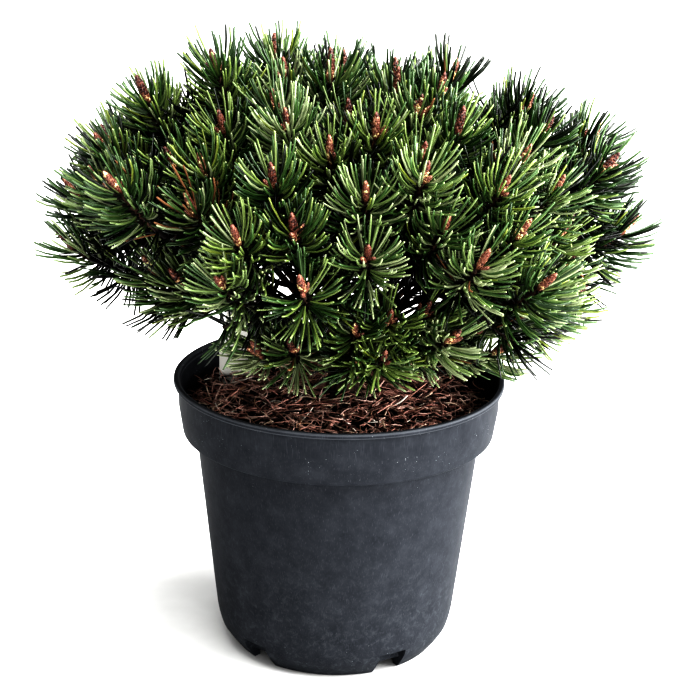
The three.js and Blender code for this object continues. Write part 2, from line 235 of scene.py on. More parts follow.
@dataclass(frozen=True)
class Arc:
    """A quadratic curve from a start, drawn towards a bend, to an end."""

    start: Array
    bend: Array
    end: Array

    def at(self, shares: Array | float) -> Array:
        """Points at shares of the curve's parameter."""
        t = np.asarray(shares, float)[..., None]
        return (1 - t) ** 2 * self.start + 2 * t * (1 - t) * self.bend + t**2 * self.end

    def heading(self, shares: Array | float) -> Array:
        """Unit tangents at shares of the curve's parameter."""
        t = np.asarray(shares, float)[..., None]
        return unit((1 - t) * (self.bend - self.start) + t * (self.end - self.bend))

    def measure(self, count: int = 33) -> tuple[Array, Array]:
        """Measures the curve along its run.

        Args:
            count: at how many stations.

        Returns:
            The parameter and the length run at each station.
        """
        stations = np.linspace(0, 1, count)
        steps = np.linalg.norm(np.diff(self.at(stations), axis=0), axis=1)
        return stations, np.concatenate([[0.0], np.cumsum(steps)])

    def length(self) -> float:
        """The curve's length."""
        return float(self.measure()[1][-1])

    def by_length(self, shares: Array | float) -> Array:
        """The parameters at shares of the curve's length."""
        stations, run = self.measure()
        return np.interp(np.asarray(shares, float) * run[-1], run, stations)


class ParkMiller:
    """The numbers from 0 to 1 that the source's rule draws."""

    MULTIPLIER = 48271
    MODULUS = 2**31 - 1

    def __init__(self, seed: int) -> None:
        """Starts the row of numbers at a seed."""
        self.state = seed

    def __call__(self) -> float:
        """The next number."""
        self.state = (self.state * self.MULTIPLIER) % self.MODULUS
        return self.state / self.MODULUS


@dataclass
class Heap:
    """Small closed shapes kept as arrays until they are joined into one piece."""

    points: list[Array] = field(default_factory=list)
    faces: list[Array] = field(default_factory=list)
    looks: list[Array] = field(default_factory=list)
    count: int = 0

    def add(self, points: Array, faces: Array, looks: Array | int) -> None:
        """Adds shapes.

        Args:
            points: their corners in millimetres.
            faces: triangles as three indices into the points.
            looks: the material number of each triangle, or one for all.
        """
        self.points.append(points)
        self.faces.append(faces + self.count)
        self.looks.append(np.broadcast_to(looks, len(faces)))
        self.count += len(points)

    def joined(self, name: str) -> Object:
        """Joins everything into one object, smooth shaded.

        Args:
            name: the object's name.

        Returns:
            The object, in metres.
        """
        points = (np.concatenate(self.points) * MM).astype(np.float32)
        faces = np.concatenate(self.faces).astype(np.int32)
        mesh = bpy.data.meshes.new(name)
        mesh.vertices.add(len(points))
        mesh.vertices.foreach_set("co", points.ravel())
        mesh.loops.add(faces.size)
        mesh.loops.foreach_set("vertex_index", faces.ravel())
        mesh.polygons.add(len(faces))
        mesh.polygons.foreach_set("loop_start", np.arange(0, faces.size, 3, dtype=np.int32))
        mesh.polygons.foreach_set("material_index", np.concatenate(self.looks).astype(np.int32))
        mesh.polygons.foreach_set("use_smooth", np.ones(len(faces), bool))
        mesh.update(calc_edges=True)
        return link_object(name, mesh)


def repeated(faces: Sequence[tuple[int, int, int]], corners: int, count: int) -> Array:
    """The triangles of many like shapes, from those of the first.

    Args:
        faces: the first shape's triangles.
        corners: how many points each shape has.
        count: how many shapes there are.

    Returns:
        The triangles of all, as three indices in each row.
    """
    starts = corners * np.arange(count)
    return (np.array(faces)[None] + starts[:, None, None]).reshape(-1, 3)


def tube(
    arc: Arc, radii: Sequence[float], sides: int, rng: Generator, rough: float
) -> tuple[Array, Array]:
    """A closed round limb along a curve, with an uneven skin.

    Args:
        arc: its centre line.
        radii: its radius at even stations along the line.
        sides: how many sides it has.
        rng: the source of chance.
        rough: how far the skin varies, as a share of the radius.

    Returns:
        Its points and triangles.
    """
    count = len(radii)
    shares = np.linspace(0, 1, count)
    centres, ways = arc.at(shares), arc.heading(shares)
    hint = np.cross(arc.end - arc.start, arc.bend - arc.start) + 1e-3
    first, second = across(ways, np.cross(hint, ways))
    angles = 2 * math.pi * np.arange(sides)[:, None] / sides
    girth = np.asarray(radii)[:, None] * (1 + rough * rng.uniform(-1, 1, (count, sides)))
    outwards = first[:, None] * np.cos(angles) + second[:, None] * np.sin(angles)
    skin = centres[:, None] + girth[..., None] * outwards
    points = np.concatenate([skin.reshape(-1, 3), np.stack([centres[0], centres[-1]])])
    faces = []
    last = count * sides
    for ring in range(count - 1):
        for k in range(sides):
            a, b = ring * sides + k, ring * sides + (k + 1) % sides
            faces += [(a, b, b + sides), (a, b + sides, a + sides)]
    for k in range(sides):
        following = (k + 1) % sides
        faces.append((following, k, last))
        faces.append((last - sides + k, last - sides + following, last + 1))
    return points, np.array(faces)


@dataclass(frozen=True)
class Taper:
    """Where along its length a needle has its rings, and each ring's share of the radius."""

    stations: tuple[float, ...]
    girths: tuple[float, ...]


@dataclass
class NeedleRow:
    """Needles as arrays: where each is rooted, its ways at root and tip, its length and radius."""

    roots: Array
    root_ways: Array
    tip_ways: Array
    lengths: Array
    radii: Array

    def arrays(self, taper: Taper, rng: Generator) -> tuple[Array, Array, Array]:
        """Makes three-sided pointed needles.

        Args:
            taper: where they have their rings, and how wide each is.
            rng: the source of chance, for each needle's turn about itself.

        Returns:
            Points, triangles, and the band that each triangle of a needle lies in; the last
            band is the point.
        """
        count, rings = len(self.roots), len(taper.stations)
        half = self.lengths[:, None] / 2
        bend = self.roots + self.root_ways * half
        end = bend + self.tip_ways * half
        first, second = across(unit(end - self.roots), rng.normal(0, 1, (count, 3)))
        angles = 2 * math.pi * np.arange(3)[:, None] / 3
        spokes = first[:, None] * np.cos(angles) + second[:, None] * np.sin(angles)
        lines = Arc(self.roots, bend, end)
        layers = [
            lines.at(station)[:, None] + spokes * (self.radii * girth)[:, None, None]
            for station, girth in zip(taper.stations, taper.girths)
        ]
        points = np.concatenate([*layers, end[:, None]], axis=1).reshape(-1, 3)
        faces, bands = [(0, 2, 1)], [0]
        for ring in range(rings - 1):
            for k in range(3):
                a, b = 3 * ring + k, 3 * ring + (k + 1) % 3
                faces += [(a, b, b + 3), (a, b + 3, a + 3)]
                bands += [ring, ring]
        last = 3 * (rings - 1)
        for k in range(3):
            faces.append((last + k, last + (k + 1) % 3, last + 3))
            bands.append(rings - 1)
        return points, repeated(faces, 3 * rings + 1, count), np.array(bands)


FALLEN_TAPER = Taper((0.0, 0.25, 0.5, 0.75, 0.95), (0.9, 1.0, 1.0, 0.95, 0.7))
SHEATHED_TAPER = Taper((0.0, 0.12, 0.42, 0.74, 0.97), (0.95, 0.9, 1.0, 1.0, 0.85))
PLAIN_TAPER = Taper((0.0, 0.5, 0.93), (0.85, 1.0, 0.72))


# ---- the rule of growth


@dataclass(frozen=True)
class Shoot:
    """A twig with the axis of its last growth, its needles' seed and its number in the mass."""

    twig: Arc
    axis: Array
    seed: int
    number: int


@dataclass(frozen=True)
class Crown:
    """A flat-topped dome about its heart, where the boughs' cones meet."""

    heart: Array = field(default_factory=lambda: np.array([0.0, 0.0, 250.0]))
    half_width: float = 211
    half_depth: float = 190
    rise: float = 217
    squareness: float = 3
    skirt: float = 223
    skirt_rise: float = 0.37
    skirt_tilt: float = 0.09

    def radius(self, direction: Array) -> float:
        """The dome's radius along a direction.

        Args:
            direction: a unit vector from the heart.

        Returns:
            The distance from the heart to the dome.
        """
        out = math.hypot(direction[0] / self.half_width, direction[1] / self.half_depth)
        up = abs(direction[2]) / self.rise
        return (out**self.squareness + up**self.squareness) ** (-1 / self.squareness)

    def skirt_height(self, place: Array) -> float:
        """The height under which no shoot hangs."""
        out = math.hypot(place[0], place[1])
        return self.skirt + self.skirt_rise * out - self.skirt_tilt * place[0]


@dataclass(frozen=True)
class Bough:
    """A main bough, by its direction from the heart and its reach as a share of the dome's."""

    name: str
    index: int
    azimuth: float
    elevation: float
    reach: float
    crown: Crown

    @property
    def direction(self) -> Array:
        """The way that the bough's cone points.

        Returns:
            A unit vector from the heart.
        """
        azimuth, elevation = math.radians(self.azimuth), math.radians(self.elevation)
        level = math.cos(elevation)
        right, ahead = level * math.sin(azimuth), level * math.cos(azimuth)
        return np.array([right, -ahead, math.sin(elevation)])

    def on_axis(self, share: float) -> Array:
        """The place on the cone's axis at a share of the bough's length."""
        length = self.reach * self.crown.radius(self.direction)
        return self.crown.heart + share * length * self.direction


@dataclass(frozen=True)
class Growth:
    """The rule that places the trunk, the boughs, the stems and the leading shoots."""

    crown: Crown = field(default_factory=Crown)
    directions: tuple[tuple[str, float, float, float], ...] = (
        ("top_left", -93, 76, 0.98),
        ("top_right", 77, 67, 0.97),
        ("left_top", -121, 59, 0.86),
        ("left_high", -83, 49, 1.02),
        ("left_side", -94, 27, 1.05),
        ("front_left_high", -51, 47, 0.91),
        ("front_left", -60, 35, 1.04),
        ("front_left_low", -57, 23, 0.77),
        ("front_middle", -15, 36, 0.98),
        ("front_high", 9, 61, 0.92),
        ("front_right_high", 40, 55, 0.95),
        ("front_right", 17, 46, 0.97),
        ("front_low", 22, 22, 0.78),
        ("right_front", 52, 45, 1),
        ("right_front_low", 40, 32, 0.99),
        ("right_high", 91, 50, 0.96),
        ("right_side", 93, 37, 1.12),
        ("right_low", 78, 19, 0.86),
        ("low_left", -30, 9, 0.67),
        ("low_middle", 10, 10, 0.74),
        ("low_right", 50, 6, 0.71),
        ("back_high", 173, 47, 0.96),
        ("back_left", -146, 24, 1),
        ("back_right", 131, 23, 0.94),
        ("back_low", 183, 17, 0.84),
    )
    first_seed: int = 3887
    seed_step: int = 131
    trunk_foot: Pair = (3, 5)
    trunk_top: Triple = (-3, 4, 268)
    lowest_bough: float = 207
    highest_bough: float = 262
    bough_end: float = 0.4
    bough_bend: float = 0.3
    stem_end: float = 0.62
    lowest_fork: float = 0.47
    highest_fork: float = 0.61
    solid_angle: float = 0.04
    first_step: float = 0.3
    turn_spread: float = 0.5
    seeds: float = 1e6
    spread: float = 32
    lag: float = 0.09
    lift: float = 0.5
    border: float = 5
    bent: tuple[tuple[str, int, Triple], ...] = (
        ("left_high", 3, (16, -2, 15)),
        ("left_high", 0, (-6, 0, 13)),
        ("top_left", 1, (-9, 0, 8)),
        ("top_right", 0, (2, 0, 5)),
        ("right_side", 3, (10, -4, -2)),
    )

    def boughs(self) -> list[Bough]:
        """Every bough, in the source's order."""
        rows = enumerate(self.directions)
        return [Bough(name, index, *place, self.crown) for index, (name, *place) in rows]

    def trunk(self, foot_height: float) -> Arc:
        """The trunk's centre line.

        Args:
            foot_height: the height of its foot.

        Returns:
            The line, upright at its foot.
        """
        x, y = self.trunk_foot
        top = np.array(self.trunk_top, float)
        bend = np.array([x, y, (foot_height + top[2]) / 2])
        return Arc(np.array([x, y, foot_height]), bend, top)

    def bough_line(self, bough: Bough, trunk: Arc) -> Arc:
        """A bough's centre line, from the trunk to the foot of its mass.

        Args:
            bough: the bough.
            trunk: the trunk's centre line.

        Returns:
            The line.
        """
        rise = (self.highest_bough - self.lowest_bough) * bough.elevation / 75
        share = (self.lowest_bough + rise - trunk.start[2]) / (trunk.end[2] - trunk.start[2])
        foot, tip = trunk.at(share), bough.on_axis(self.bough_end)
        reach = float(np.linalg.norm(tip - foot))
        return Arc(foot, tip - self.bough_bend * reach * bough.direction, tip)

    def in_own_space(self, bough: Bough, place: Array) -> bool:
        """Says whether a place lies in the bough's own space, clear of its neighbours' spaces.

        Args:
            bough: the bough.
            place: the place.

        Returns:
            True where it is clear of each neighbour's space by the border.
        """
        out = place - self.crown.heart
        others = [b for b in self.boughs() if b.index != bough.index]
        return all(out @ unit(bough.direction - other.direction) > self.border for other in others)

    def bent_by(self, name: str, number: int) -> Array:
        """Says how far wind and light have bent a shoot's tip from its place.

        Args:
            name: the name of the bough that carries the shoot.
            number: the shoot's number in the mass.

        Returns:
            The shift of its tip.
        """
        shifts = {(bough, shoot): shift for bough, shoot, shift in self.bent}
        return np.array(shifts.get((name, number), (0, 0, 0)), float)

    def leading_shoots(self, bough: Bough) -> list[Shoot]:
        """The shoots of a mass: a spiral about the bough's direction that fills its cone.

        Args:
            bough: the bough that the mass grows on.

        Returns:
            The shoots, drawn as the source draws them.
        """
        draw = ParkMiller(self.first_seed + self.seed_step * bough.index)
        side = unit(np.cross(UP, bough.direction))
        over = np.cross(bough.direction, side)
        first_turn = 2 * math.pi * draw()
        shoots: list[Shoot] = []
        widest = math.sin(math.radians(self.spread))
        for k in itertools.count():
            cosine = 1 - (k + self.first_step) * self.solid_angle / (2 * math.pi)
            if cosine < math.cos(math.radians(self.spread)):
                break
            turn = first_turn + k * GOLDEN_ANGLE + self.turn_spread * (draw() - 0.5)
            sine = math.sqrt(1 - cosine * cosine)
            sideways = side * math.cos(turn) + over * math.sin(turn)
            direction = bough.direction * cosine + sideways * sine
            length = bough.reach * self.crown.radius(direction) * (1 - self.lag * draw())
            tip = self.crown.heart + direction * length
            axis = unit(direction + self.lift * UP)
            seed = 1 + math.floor(self.seeds * draw())
            if tip[2] < self.crown.skirt_height(tip) or not self.in_own_space(bough, tip):
                continue
            out = sine / widest
            fork = bough.on_axis(self.highest_fork + (self.lowest_fork - self.highest_fork) * out)
            tip = tip + self.bent_by(bough.name, len(shoots))
            bend = tip - 0.5 * float(np.linalg.norm(tip - fork)) * axis
            shoots.append(Shoot(Arc(fork, bend, tip), axis, seed, len(shoots)))
        return shoots


# ---- finishes


class Green(Enum):
    """The plain colours that are dealt out to needles, each with its hex value. PALE down to SHADE
    are one living green from lit to shaded, so a needle's step down them is partly random tone and
    partly painted light and shade.
    """

    PALE = "#848c70"
    BRIGHT = "#697850"
    LEAF = "#415832"
    MIDDLE = "#253c1c"
    DEEP = "#0d1809"
    SHADE = "#030603"
    YELLOW = "#707a3c"
    DEAD = "#76563c"
    SHEATH = "#2a2019"
    TIP = "#969c78"
    FRESH = "#6e7d4c"


GREENS = list(Green)


@dataclass(frozen=True)
class WaxedNeedle:
    """Living pine needle: a hard waxed skin, so it has a narrow soft gloss along its back."""

    roughness: float = 0.38
    dry_roughness: float = 0.75
    ior: float = 1.5
    wax: float = 0.5
    wax_roughness: float = 0.28

    def materials(self) -> list[Material]:
        """Makes one material for each colour; dead needles and sheaths are dry and bare of wax.

        Returns:
            The materials, in the order of the colours.
        """
        made = []
        for green in GREENS:
            dry = green in (Green.DEAD, Green.SHEATH)
            material, _, _ = shader_of(
                f"pine_needle_{green.name.lower()}",
                Base_Color=linear(green.value),
                Roughness=self.dry_roughness if dry else self.roughness,
                IOR=self.ior,
                Coat_Weight=0.0 if dry else self.wax,
                Coat_Roughness=self.wax_roughness,
            )
            made.append(material)
        return made


@dataclass(frozen=True)
class PlainTones:
    """One dry matt or lightly glazed finish in several plain colours."""

    name: str
    colours: tuple[str, ...]
    roughness: float
    ior: float = 1.5
    glaze: float = 0.0
    glaze_roughness: float = 0.25

    def materials(self) -> list[Material]:
        """Makes one material for each colour.

        Returns:
            The materials, in the order of the colours.
        """
        made = []
        for number, colour in enumerate(self.colours):
            material, _, _ = shader_of(
                f"{self.name}_{number}",
                Base_Color=linear(colour),
                Roughness=self.roughness,
                IOR=self.ior,
                Coat_Weight=self.glaze,
                Coat_Roughness=self.glaze_roughness,
            )
            made.append(material)
        return made


# Winter bud: papery overlapping scales, glazed with resin, so they glint. The last two colours
# are their bleached fringes.
BUD_SCALE = PlainTones(
    "pine_bud_scale",
    ("#6c4339", "#80584a", "#482d29", "#a07c68", "#d2b38c", "#e0d7a8"),
    roughness=0.4,
    glaze=0.35,
)

# Young pine bark: matt and rough, brown where new and near black with age.
TWIG_BARK = PlainTones(
    "pine_twig_bark", ("#46342b", "#2c211d", "#191311"), roughness=0.85, ior=1.45
)

# Fallen needles and chips: dry and papery, from red-brown to tan and near black.
DRY_LITTER = PlainTones(
    "dry_pine_litter",
    ("#e0c2b6", "#c29a8d", "#957066", "#53413b", "#231a18", "#f2dcc8", "#fbf4ea", "#ab8b74"),
    roughness=0.5,
)


@dataclass(frozen=True)
class ScalyBark:
    """Pine bark on old wood: grey-brown flaking plates about 6 mm across with dark clefts."""

    roughness: float = 0.88
    ior: float = 1.45
    plate: float = 6.0
    plate_stretch: Triple = (1, 1, 0.55)
    clefts: Stops = ((0.0, "#14100e"), (0.12, "#3a2c24"), (0.4, "#5d4a3c"))
    grain: float = 0.9
    speckle: float = 0.6
    relief: float = 0.4
    relief_strength: float = 0.6

    def material(self) -> Material:
        """Makes the bark: plates parted by clefts, speckled and pitted by a fine grain.

        Returns:
            The material.
        """
        name = "pine_scaly_bark"
        material, tree, shader = shader_of(name, Roughness=self.roughness, IOR=self.ior)
        place = add_node(tree, "TexCoord").outputs["Object"]
        inputs = {"Vector": place, "Scale": self.plate_stretch}
        long = add_node(tree, "Mapping", inputs=inputs).outputs[0]
        inputs = {"Vector": long, "Scale": 1 / (self.plate * MM)}
        plates = add_node(tree, "TexVoronoi", {"feature": "DISTANCE_TO_EDGE"}, inputs)
        inputs = {"Vector": place, "Scale": 1 / (self.grain * MM), "Detail": 4}
        grain = add_node(tree, "TexNoise", inputs=inputs)
        inputs = {"Fac": plates.outputs["Distance"]}
        cleft = add_node(tree, "ValToRGB", inputs=inputs, stops=self.clefts).outputs["Color"]
        inputs = {"Factor": self.speckle, 6: cleft, 7: grain.outputs["Color"]}
        overlay = {"data_type": "RGBA", "blend_type": "OVERLAY"}
        speckle = add_node(tree, "Mix", overlay, inputs).outputs[2]
        depths = {"Strength": self.relief_strength, "Distance": self.relief * MM}
        bump = add_node(tree, "Bump", inputs={"Height": grain.outputs["Fac"], **depths})
        tree.links.new(speckle, shader.inputs["Base Color"])
        tree.links.new(bump.outputs["Normal"], shader.inputs["Normal"])
        return material


@dataclass(frozen=True)
class MouldedPolypropylene:
    """Black polypropylene, injection moulded with a fine spark-eroded texture: a soft sheen on
    charcoal, faintly clouded, scuffed aslant by handling, with dried splashes and dust under the
    lip and round the foot. The grain is drawn 0.8 mm wide, coarser than the real 0.1 mm. Sizes
    and heights are in millimetres, and a range of noise runs from where a mark starts to show to
    where it shows in full."""

    name: str = "injection_moulded_black_polypropylene"
    roughness: float = 0.5
    ior: float = 1.49
    sheen_level: float = 0.05
    shades: Stops = ((0.34, "#2e3034"), (0.52, "#333539"), (0.72, "#3a3c40"))
    cloud: float = 15.0
    scuff_colour: str = "#54565b"
    scratch_length: float = 16.0
    scratch_width: float = 0.4
    scratch_slant: float = 0.3
    scuffed: Pair = (0.62, 0.75)
    scuff_strength: float = 0.45
    rub_colour: str = "#5f6265"
    rub: float = 5.0
    rubbed: Pair = (0.5, 0.72)
    rub_heights: Pair = (120.0, 15.0)
    rub_strengths: Pair = (0.06, 0.42)
    dust_colour: str = "#95989a"
    speck: float = 2.1
    specks_left_out: float = 0.3
    patch: float = 17.0
    patched: Pair = (0.4, 0.62)
    widest_speck: float = 0.2
    stray_dust: float = 0.22
    dusty: tuple[Triple, ...] = ((150.0, 212.0, 0.8), (60.0, 8.0, 0.6))
    # painted highlights: pale lines at two heights along the lip, in place of its glints
    lip_highlight_colour: str = "#8b8e92"
    lip_highlight_heights: Pair = (220.2, 217.0)
    lip_highlight_width: float = 0.8
    lip_highlight_strength: float = 0.16
    texture: float = 0.8
    texture_depth: float = 0.08
    texture_strength: float = 0.25

    def clouds(self, tree: NodeTree, place: NodeSocket) -> Node:
        """The worn charcoal, lighter in fine clouds.

        Args:
            tree: the node tree.
            place: the socket that gives the place.

        Returns:
            The node of its colour.
        """
        sizes = {"Scale": 1 / (self.cloud * MM), "Detail": 9, "Roughness": 0.68}
        cloud = add_node(tree, "TexNoise", inputs={"Vector": place, **sizes}).outputs["Fac"]
        return add_node(tree, "ValToRGB", inputs={"Fac": cloud}, stops=self.shades)

    def scuffs(self, tree: NodeTree, place: NodeSocket) -> Node:
        """Short fine scuffs, all aslant.

        Args:
            tree: the node tree.
            place: the socket that gives the place.

        Returns:
            The node of how far they show.
        """
        long, narrow = 1 / (self.scratch_length * MM), 1 / (self.scratch_width * MM)
        turn = {"Rotation": (0.0, self.scratch_slant, 0.0), "Scale": (narrow, narrow, long)}
        stretched = add_node(tree, "Mapping", inputs={"Vector": place, **turn}).outputs[0]
        inputs = {"Vector": stretched, "Scale": 1.0, "Detail": 1}
        lines = add_node(tree, "TexNoise", inputs=inputs).outputs["Fac"]
        start, full = self.scuffed
        limits = {"From Min": start, "From Max": full, "To Max": self.scuff_strength}
        return add_node(tree, "MapRange", inputs={"Value": lines, **limits})

    def rubs(self, tree: NodeTree, place: NodeSocket) -> Node:
        """Chalky rubs in a fine marbling that thickens towards the foot.

        Args:
            tree: the node tree.
            place: the socket that gives the place.

        Returns:
            The node of how far they show.
        """
        sizes = {"Scale": 1 / (self.rub * MM), "Detail": 12, "Roughness": 0.72, "Distortion": 0.8}
        marbling = add_node(tree, "TexNoise", inputs={"Vector": place, **sizes})
        height = add_node(tree, "SeparateXYZ", inputs={0: place}).outputs["Z"]
        start, full = self.rubbed
        veins = {"Value": marbling.outputs["Fac"], "From Min": start, "From Max": full}
        top, foot = (level * MM for level in self.rub_heights)
        least, most = self.rub_strengths
        low = {"Value": height, "From Min": top, "From Max": foot, "To Min": least, "To Max": most}
        factors = {}
        for number, inputs in enumerate((veins, low)):
            factors[number] = add_node(tree, "MapRange", inputs=inputs).outputs[0]
        return add_node(tree, "Math", {"operation": "MULTIPLY"}, factors)

    def dust(self, tree: NodeTree, place: NodeSocket) -> Node:
        """Specks of dust and splashes in patches, thick under the lip and round the foot.

        Args:
            tree: the node tree.
            place: the socket that gives the place.

        Returns:
            The node of where the dust covers.
        """
        height = add_node(tree, "SeparateXYZ", inputs={0: place}).outputs["Z"]
        zones = []
        for start, end, most in self.dusty:
            inputs = {"Value": height, "From Min": start * MM, "From Max": end * MM, "To Max": most}
            zones.append(add_node(tree, "MapRange", inputs=inputs).outputs[0])
        either = add_node(tree, "Math", {"operation": "MAXIMUM"}, dict(enumerate(zones))).outputs[0]
        zone = add_node(tree, "Math", {"operation": "ADD"}, {0: either, 1: self.stray_dust})
        inputs = {"Vector": place, "Scale": 1 / (self.patch * MM), "Detail": 2}
        patches = add_node(tree, "TexNoise", inputs=inputs).outputs["Fac"]
        start, full = self.patched
        limits = {"From Min": start, "From Max": full, "To Max": self.widest_speck}
        patch = add_node(tree, "MapRange", inputs={"Value": patches, **limits})
        inputs = {"Vector": place, "Scale": 1 / (self.speck * MM)}
        cells = add_node(tree, "TexVoronoi", inputs=inputs)
        chance = add_node(tree, "SeparateColor", inputs={0: cells.outputs["Color"]}).outputs[0]
        inputs = {"Value": chance, "From Min": self.specks_left_out}
        size = add_node(tree, "MapRange", inputs=inputs)
        for factor in (zone, patch):
            inputs = {0: size.outputs[0], 1: factor.outputs[0]}
            size = add_node(tree, "Math", {"operation": "MULTIPLY"}, inputs)
        inputs = {0: cells.outputs["Distance"], 1: size.outputs[0]}
        return add_node(tree, "Math", {"operation": "LESS_THAN"}, inputs)

    def paint_lip_highlights(self, tree: NodeTree, place: NodeSocket) -> Node:
        """Painted highlights: two pale lines at the heights of the lip's two edges, standing in for
        the glints along its bead.

        Args:
            tree: the node tree.
            place: the socket that gives the place.

        Returns:
            The node of how far they show.
        """
        height = add_node(tree, "SeparateXYZ", inputs={0: place}).outputs["Z"]
        shown = []
        for level in self.lip_highlight_heights:
            inputs = {0: height, 1: level * MM, 2: self.lip_highlight_width * MM}
            shown.append(add_node(tree, "Math", {"operation": "COMPARE"}, inputs).outputs[0])
        either = add_node(tree, "Math", {"operation": "MAXIMUM"}, dict(enumerate(shown))).outputs[0]
        return add_node(tree, "Math", {"operation": "MULTIPLY"}, {0: either, 1: self.lip_highlight_strength})

    def material(self) -> Material:
        """Makes the plastic: the clouded charcoal under its rubs, scuffs, painted highlights on the
        lip's two edges, and dust.

        Returns:
            The material.
        """
        material, tree, shader = shader_of(
            self.name, Roughness=self.roughness, IOR=self.ior, Specular_IOR_Level=self.sheen_level
        )
        place = add_node(tree, "TexCoord").outputs["Object"]
        colour = self.clouds(tree, place).outputs["Color"]
        coats = (
            (self.rubs, self.rub_colour),
            (self.scuffs, self.scuff_colour),
            # painted highlights on the lip's two edges
            (self.paint_lip_highlights, self.lip_highlight_colour),
            (self.dust, self.dust_colour),
        )
        for coat, shade in coats:
            inputs = {"Factor": coat(tree, place).outputs[0], 6: colour, 7: linear(shade)}
            colour = add_node(tree, "Mix", {"data_type": "RGBA"}, inputs).outputs[2]
        sizes = {"Scale": 1 / (self.texture * MM), "Detail": 2}
        grain = add_node(tree, "TexNoise", inputs={"Vector": place, **sizes}).outputs["Fac"]
        depths = {"Strength": self.texture_strength, "Distance": self.texture_depth * MM}
        bump = add_node(tree, "Bump", inputs={"Height": grain, **depths})
        tree.links.new(colour, shader.inputs["Base Color"])
        tree.links.new(bump.outputs["Normal"], shader.inputs["Normal"])
        return material


@dataclass(frozen=True)
class CompostedBark:
    """Damp composted bark and peat: crumbs 1 to 4 mm across, near black, with browner flecks."""

    roughness: float = 0.95
    ior: float = 1.4
    crumb: float = 3.0
    tones: Stops = ((0.0, "#040303"), (0.6, "#0a0706"), (0.85, "#17100d"), (1.0, "#2e1f19"))
    relief: float = 1.2
    relief_strength: float = 0.9

    def material(self) -> Material:
        """Makes the medium: crumbs that stand proud, each of one tone.

        Returns:
            The material.
        """
        name = "composted_bark_medium"
        material, tree, shader = shader_of(name, Roughness=self.roughness, IOR=self.ior)
        place = add_node(tree, "TexCoord").outputs["Object"]
        inputs = {"Vector": place, "Scale": 1 / (self.crumb * MM)}
        crumbs = add_node(tree, "TexVoronoi", inputs=inputs)
        chance = add_node(tree, "SeparateColor", inputs={0: crumbs.outputs["Color"]}).outputs[0]
        tone = add_node(tree, "ValToRGB", inputs={"Fac": chance}, stops=self.tones)
        depths = {"Strength": self.relief_strength, "Distance": self.relief * MM}
        inputs = {"Height": crumbs.outputs["Distance"], **depths}
        bump = add_node(tree, "Bump", {"invert": True}, inputs)
        tree.links.new(tone.outputs["Color"], shader.inputs["Base Color"])
        tree.links.new(bump.outputs["Normal"], shader.inputs["Normal"])
        return material


@dataclass(frozen=True)
class LabelSheet:
    """Label card: matt coated polypropylene sheet, cream white, faintly stained."""

    roughness: float = 0.5
    ior: float = 1.49
    stain: float = 14.0
    tones: Stops = ((0.3, "#eceae2"), (0.5, "#f7f6f0"), (0.8, "#fbfaf6"))

    def material(self) -> Material:
        """Makes the card: cream white with faint stains.

        Returns:
            The material.
        """
        name = "matt_polypropylene_label_sheet"
        material, tree, shader = shader_of(name, Roughness=self.roughness, IOR=self.ior)
        place = add_node(tree, "TexCoord").outputs["Object"]
        sizes = {"Scale": 1 / (self.stain * MM), "Detail": 5}
        stain = add_node(tree, "TexNoise", inputs={"Vector": place, **sizes}).outputs["Fac"]
        tone = add_node(tree, "ValToRGB", inputs={"Fac": stain}, stops=self.tones)
        tree.links.new(tone.outputs["Color"], shader.inputs["Base Color"])
        return material


# ---- the pot


def round_off(
    bm: BMesh, geom: Sequence[Any], radius: float, affect: str, segments: int = 3
) -> None:
    """Rounds corners or edges.

    Args:
        bm: the shape.
        geom: the corners or edges.
        radius: how far back the rounding starts.
        affect: VERTICES or EDGES.
        segments: how many steps it has.
    """
    bmesh.ops.bevel(
        bm, geom=geom, offset=radius, segments=segments, profile=0.5, affect=affect, material=-1
    )


def turned(profile: Profile, steps: int) -> BMesh:
    """Spins a profile about the Z axis into a closed shell.

    Args:
        profile: points from the axis round to the axis again, in millimetres: the radius, the
            height and, where the corner is rounded, by how much.
        steps: how many steps the full turn has.

    Returns:
        The shell, with its normals out.
    """
    bm = bmesh.new()
    corners = [bm.verts.new((radius, 0, height)) for radius, height, *_ in profile]
    for first, second in zip(corners, corners[1:]):
        bm.edges.new((first, second))
    for corner, (_, _, *rounding) in zip(corners, profile):
        for radius in rounding:
            round_off(bm, [corner], radius, "VERTICES")
    bmesh.ops.spin(
        bm,
        geom=bm.verts[:] + bm.edges[:],
        cent=(0, 0, 0),
        axis=(0, 0, 1),
        angle=2 * math.pi,
        steps=steps,
        use_merge=True,
    )
    bmesh.ops.remove_doubles(bm, verts=bm.verts, dist=1e-4)
    bmesh.ops.recalc_face_normals(bm, faces=bm.faces)
    return bm


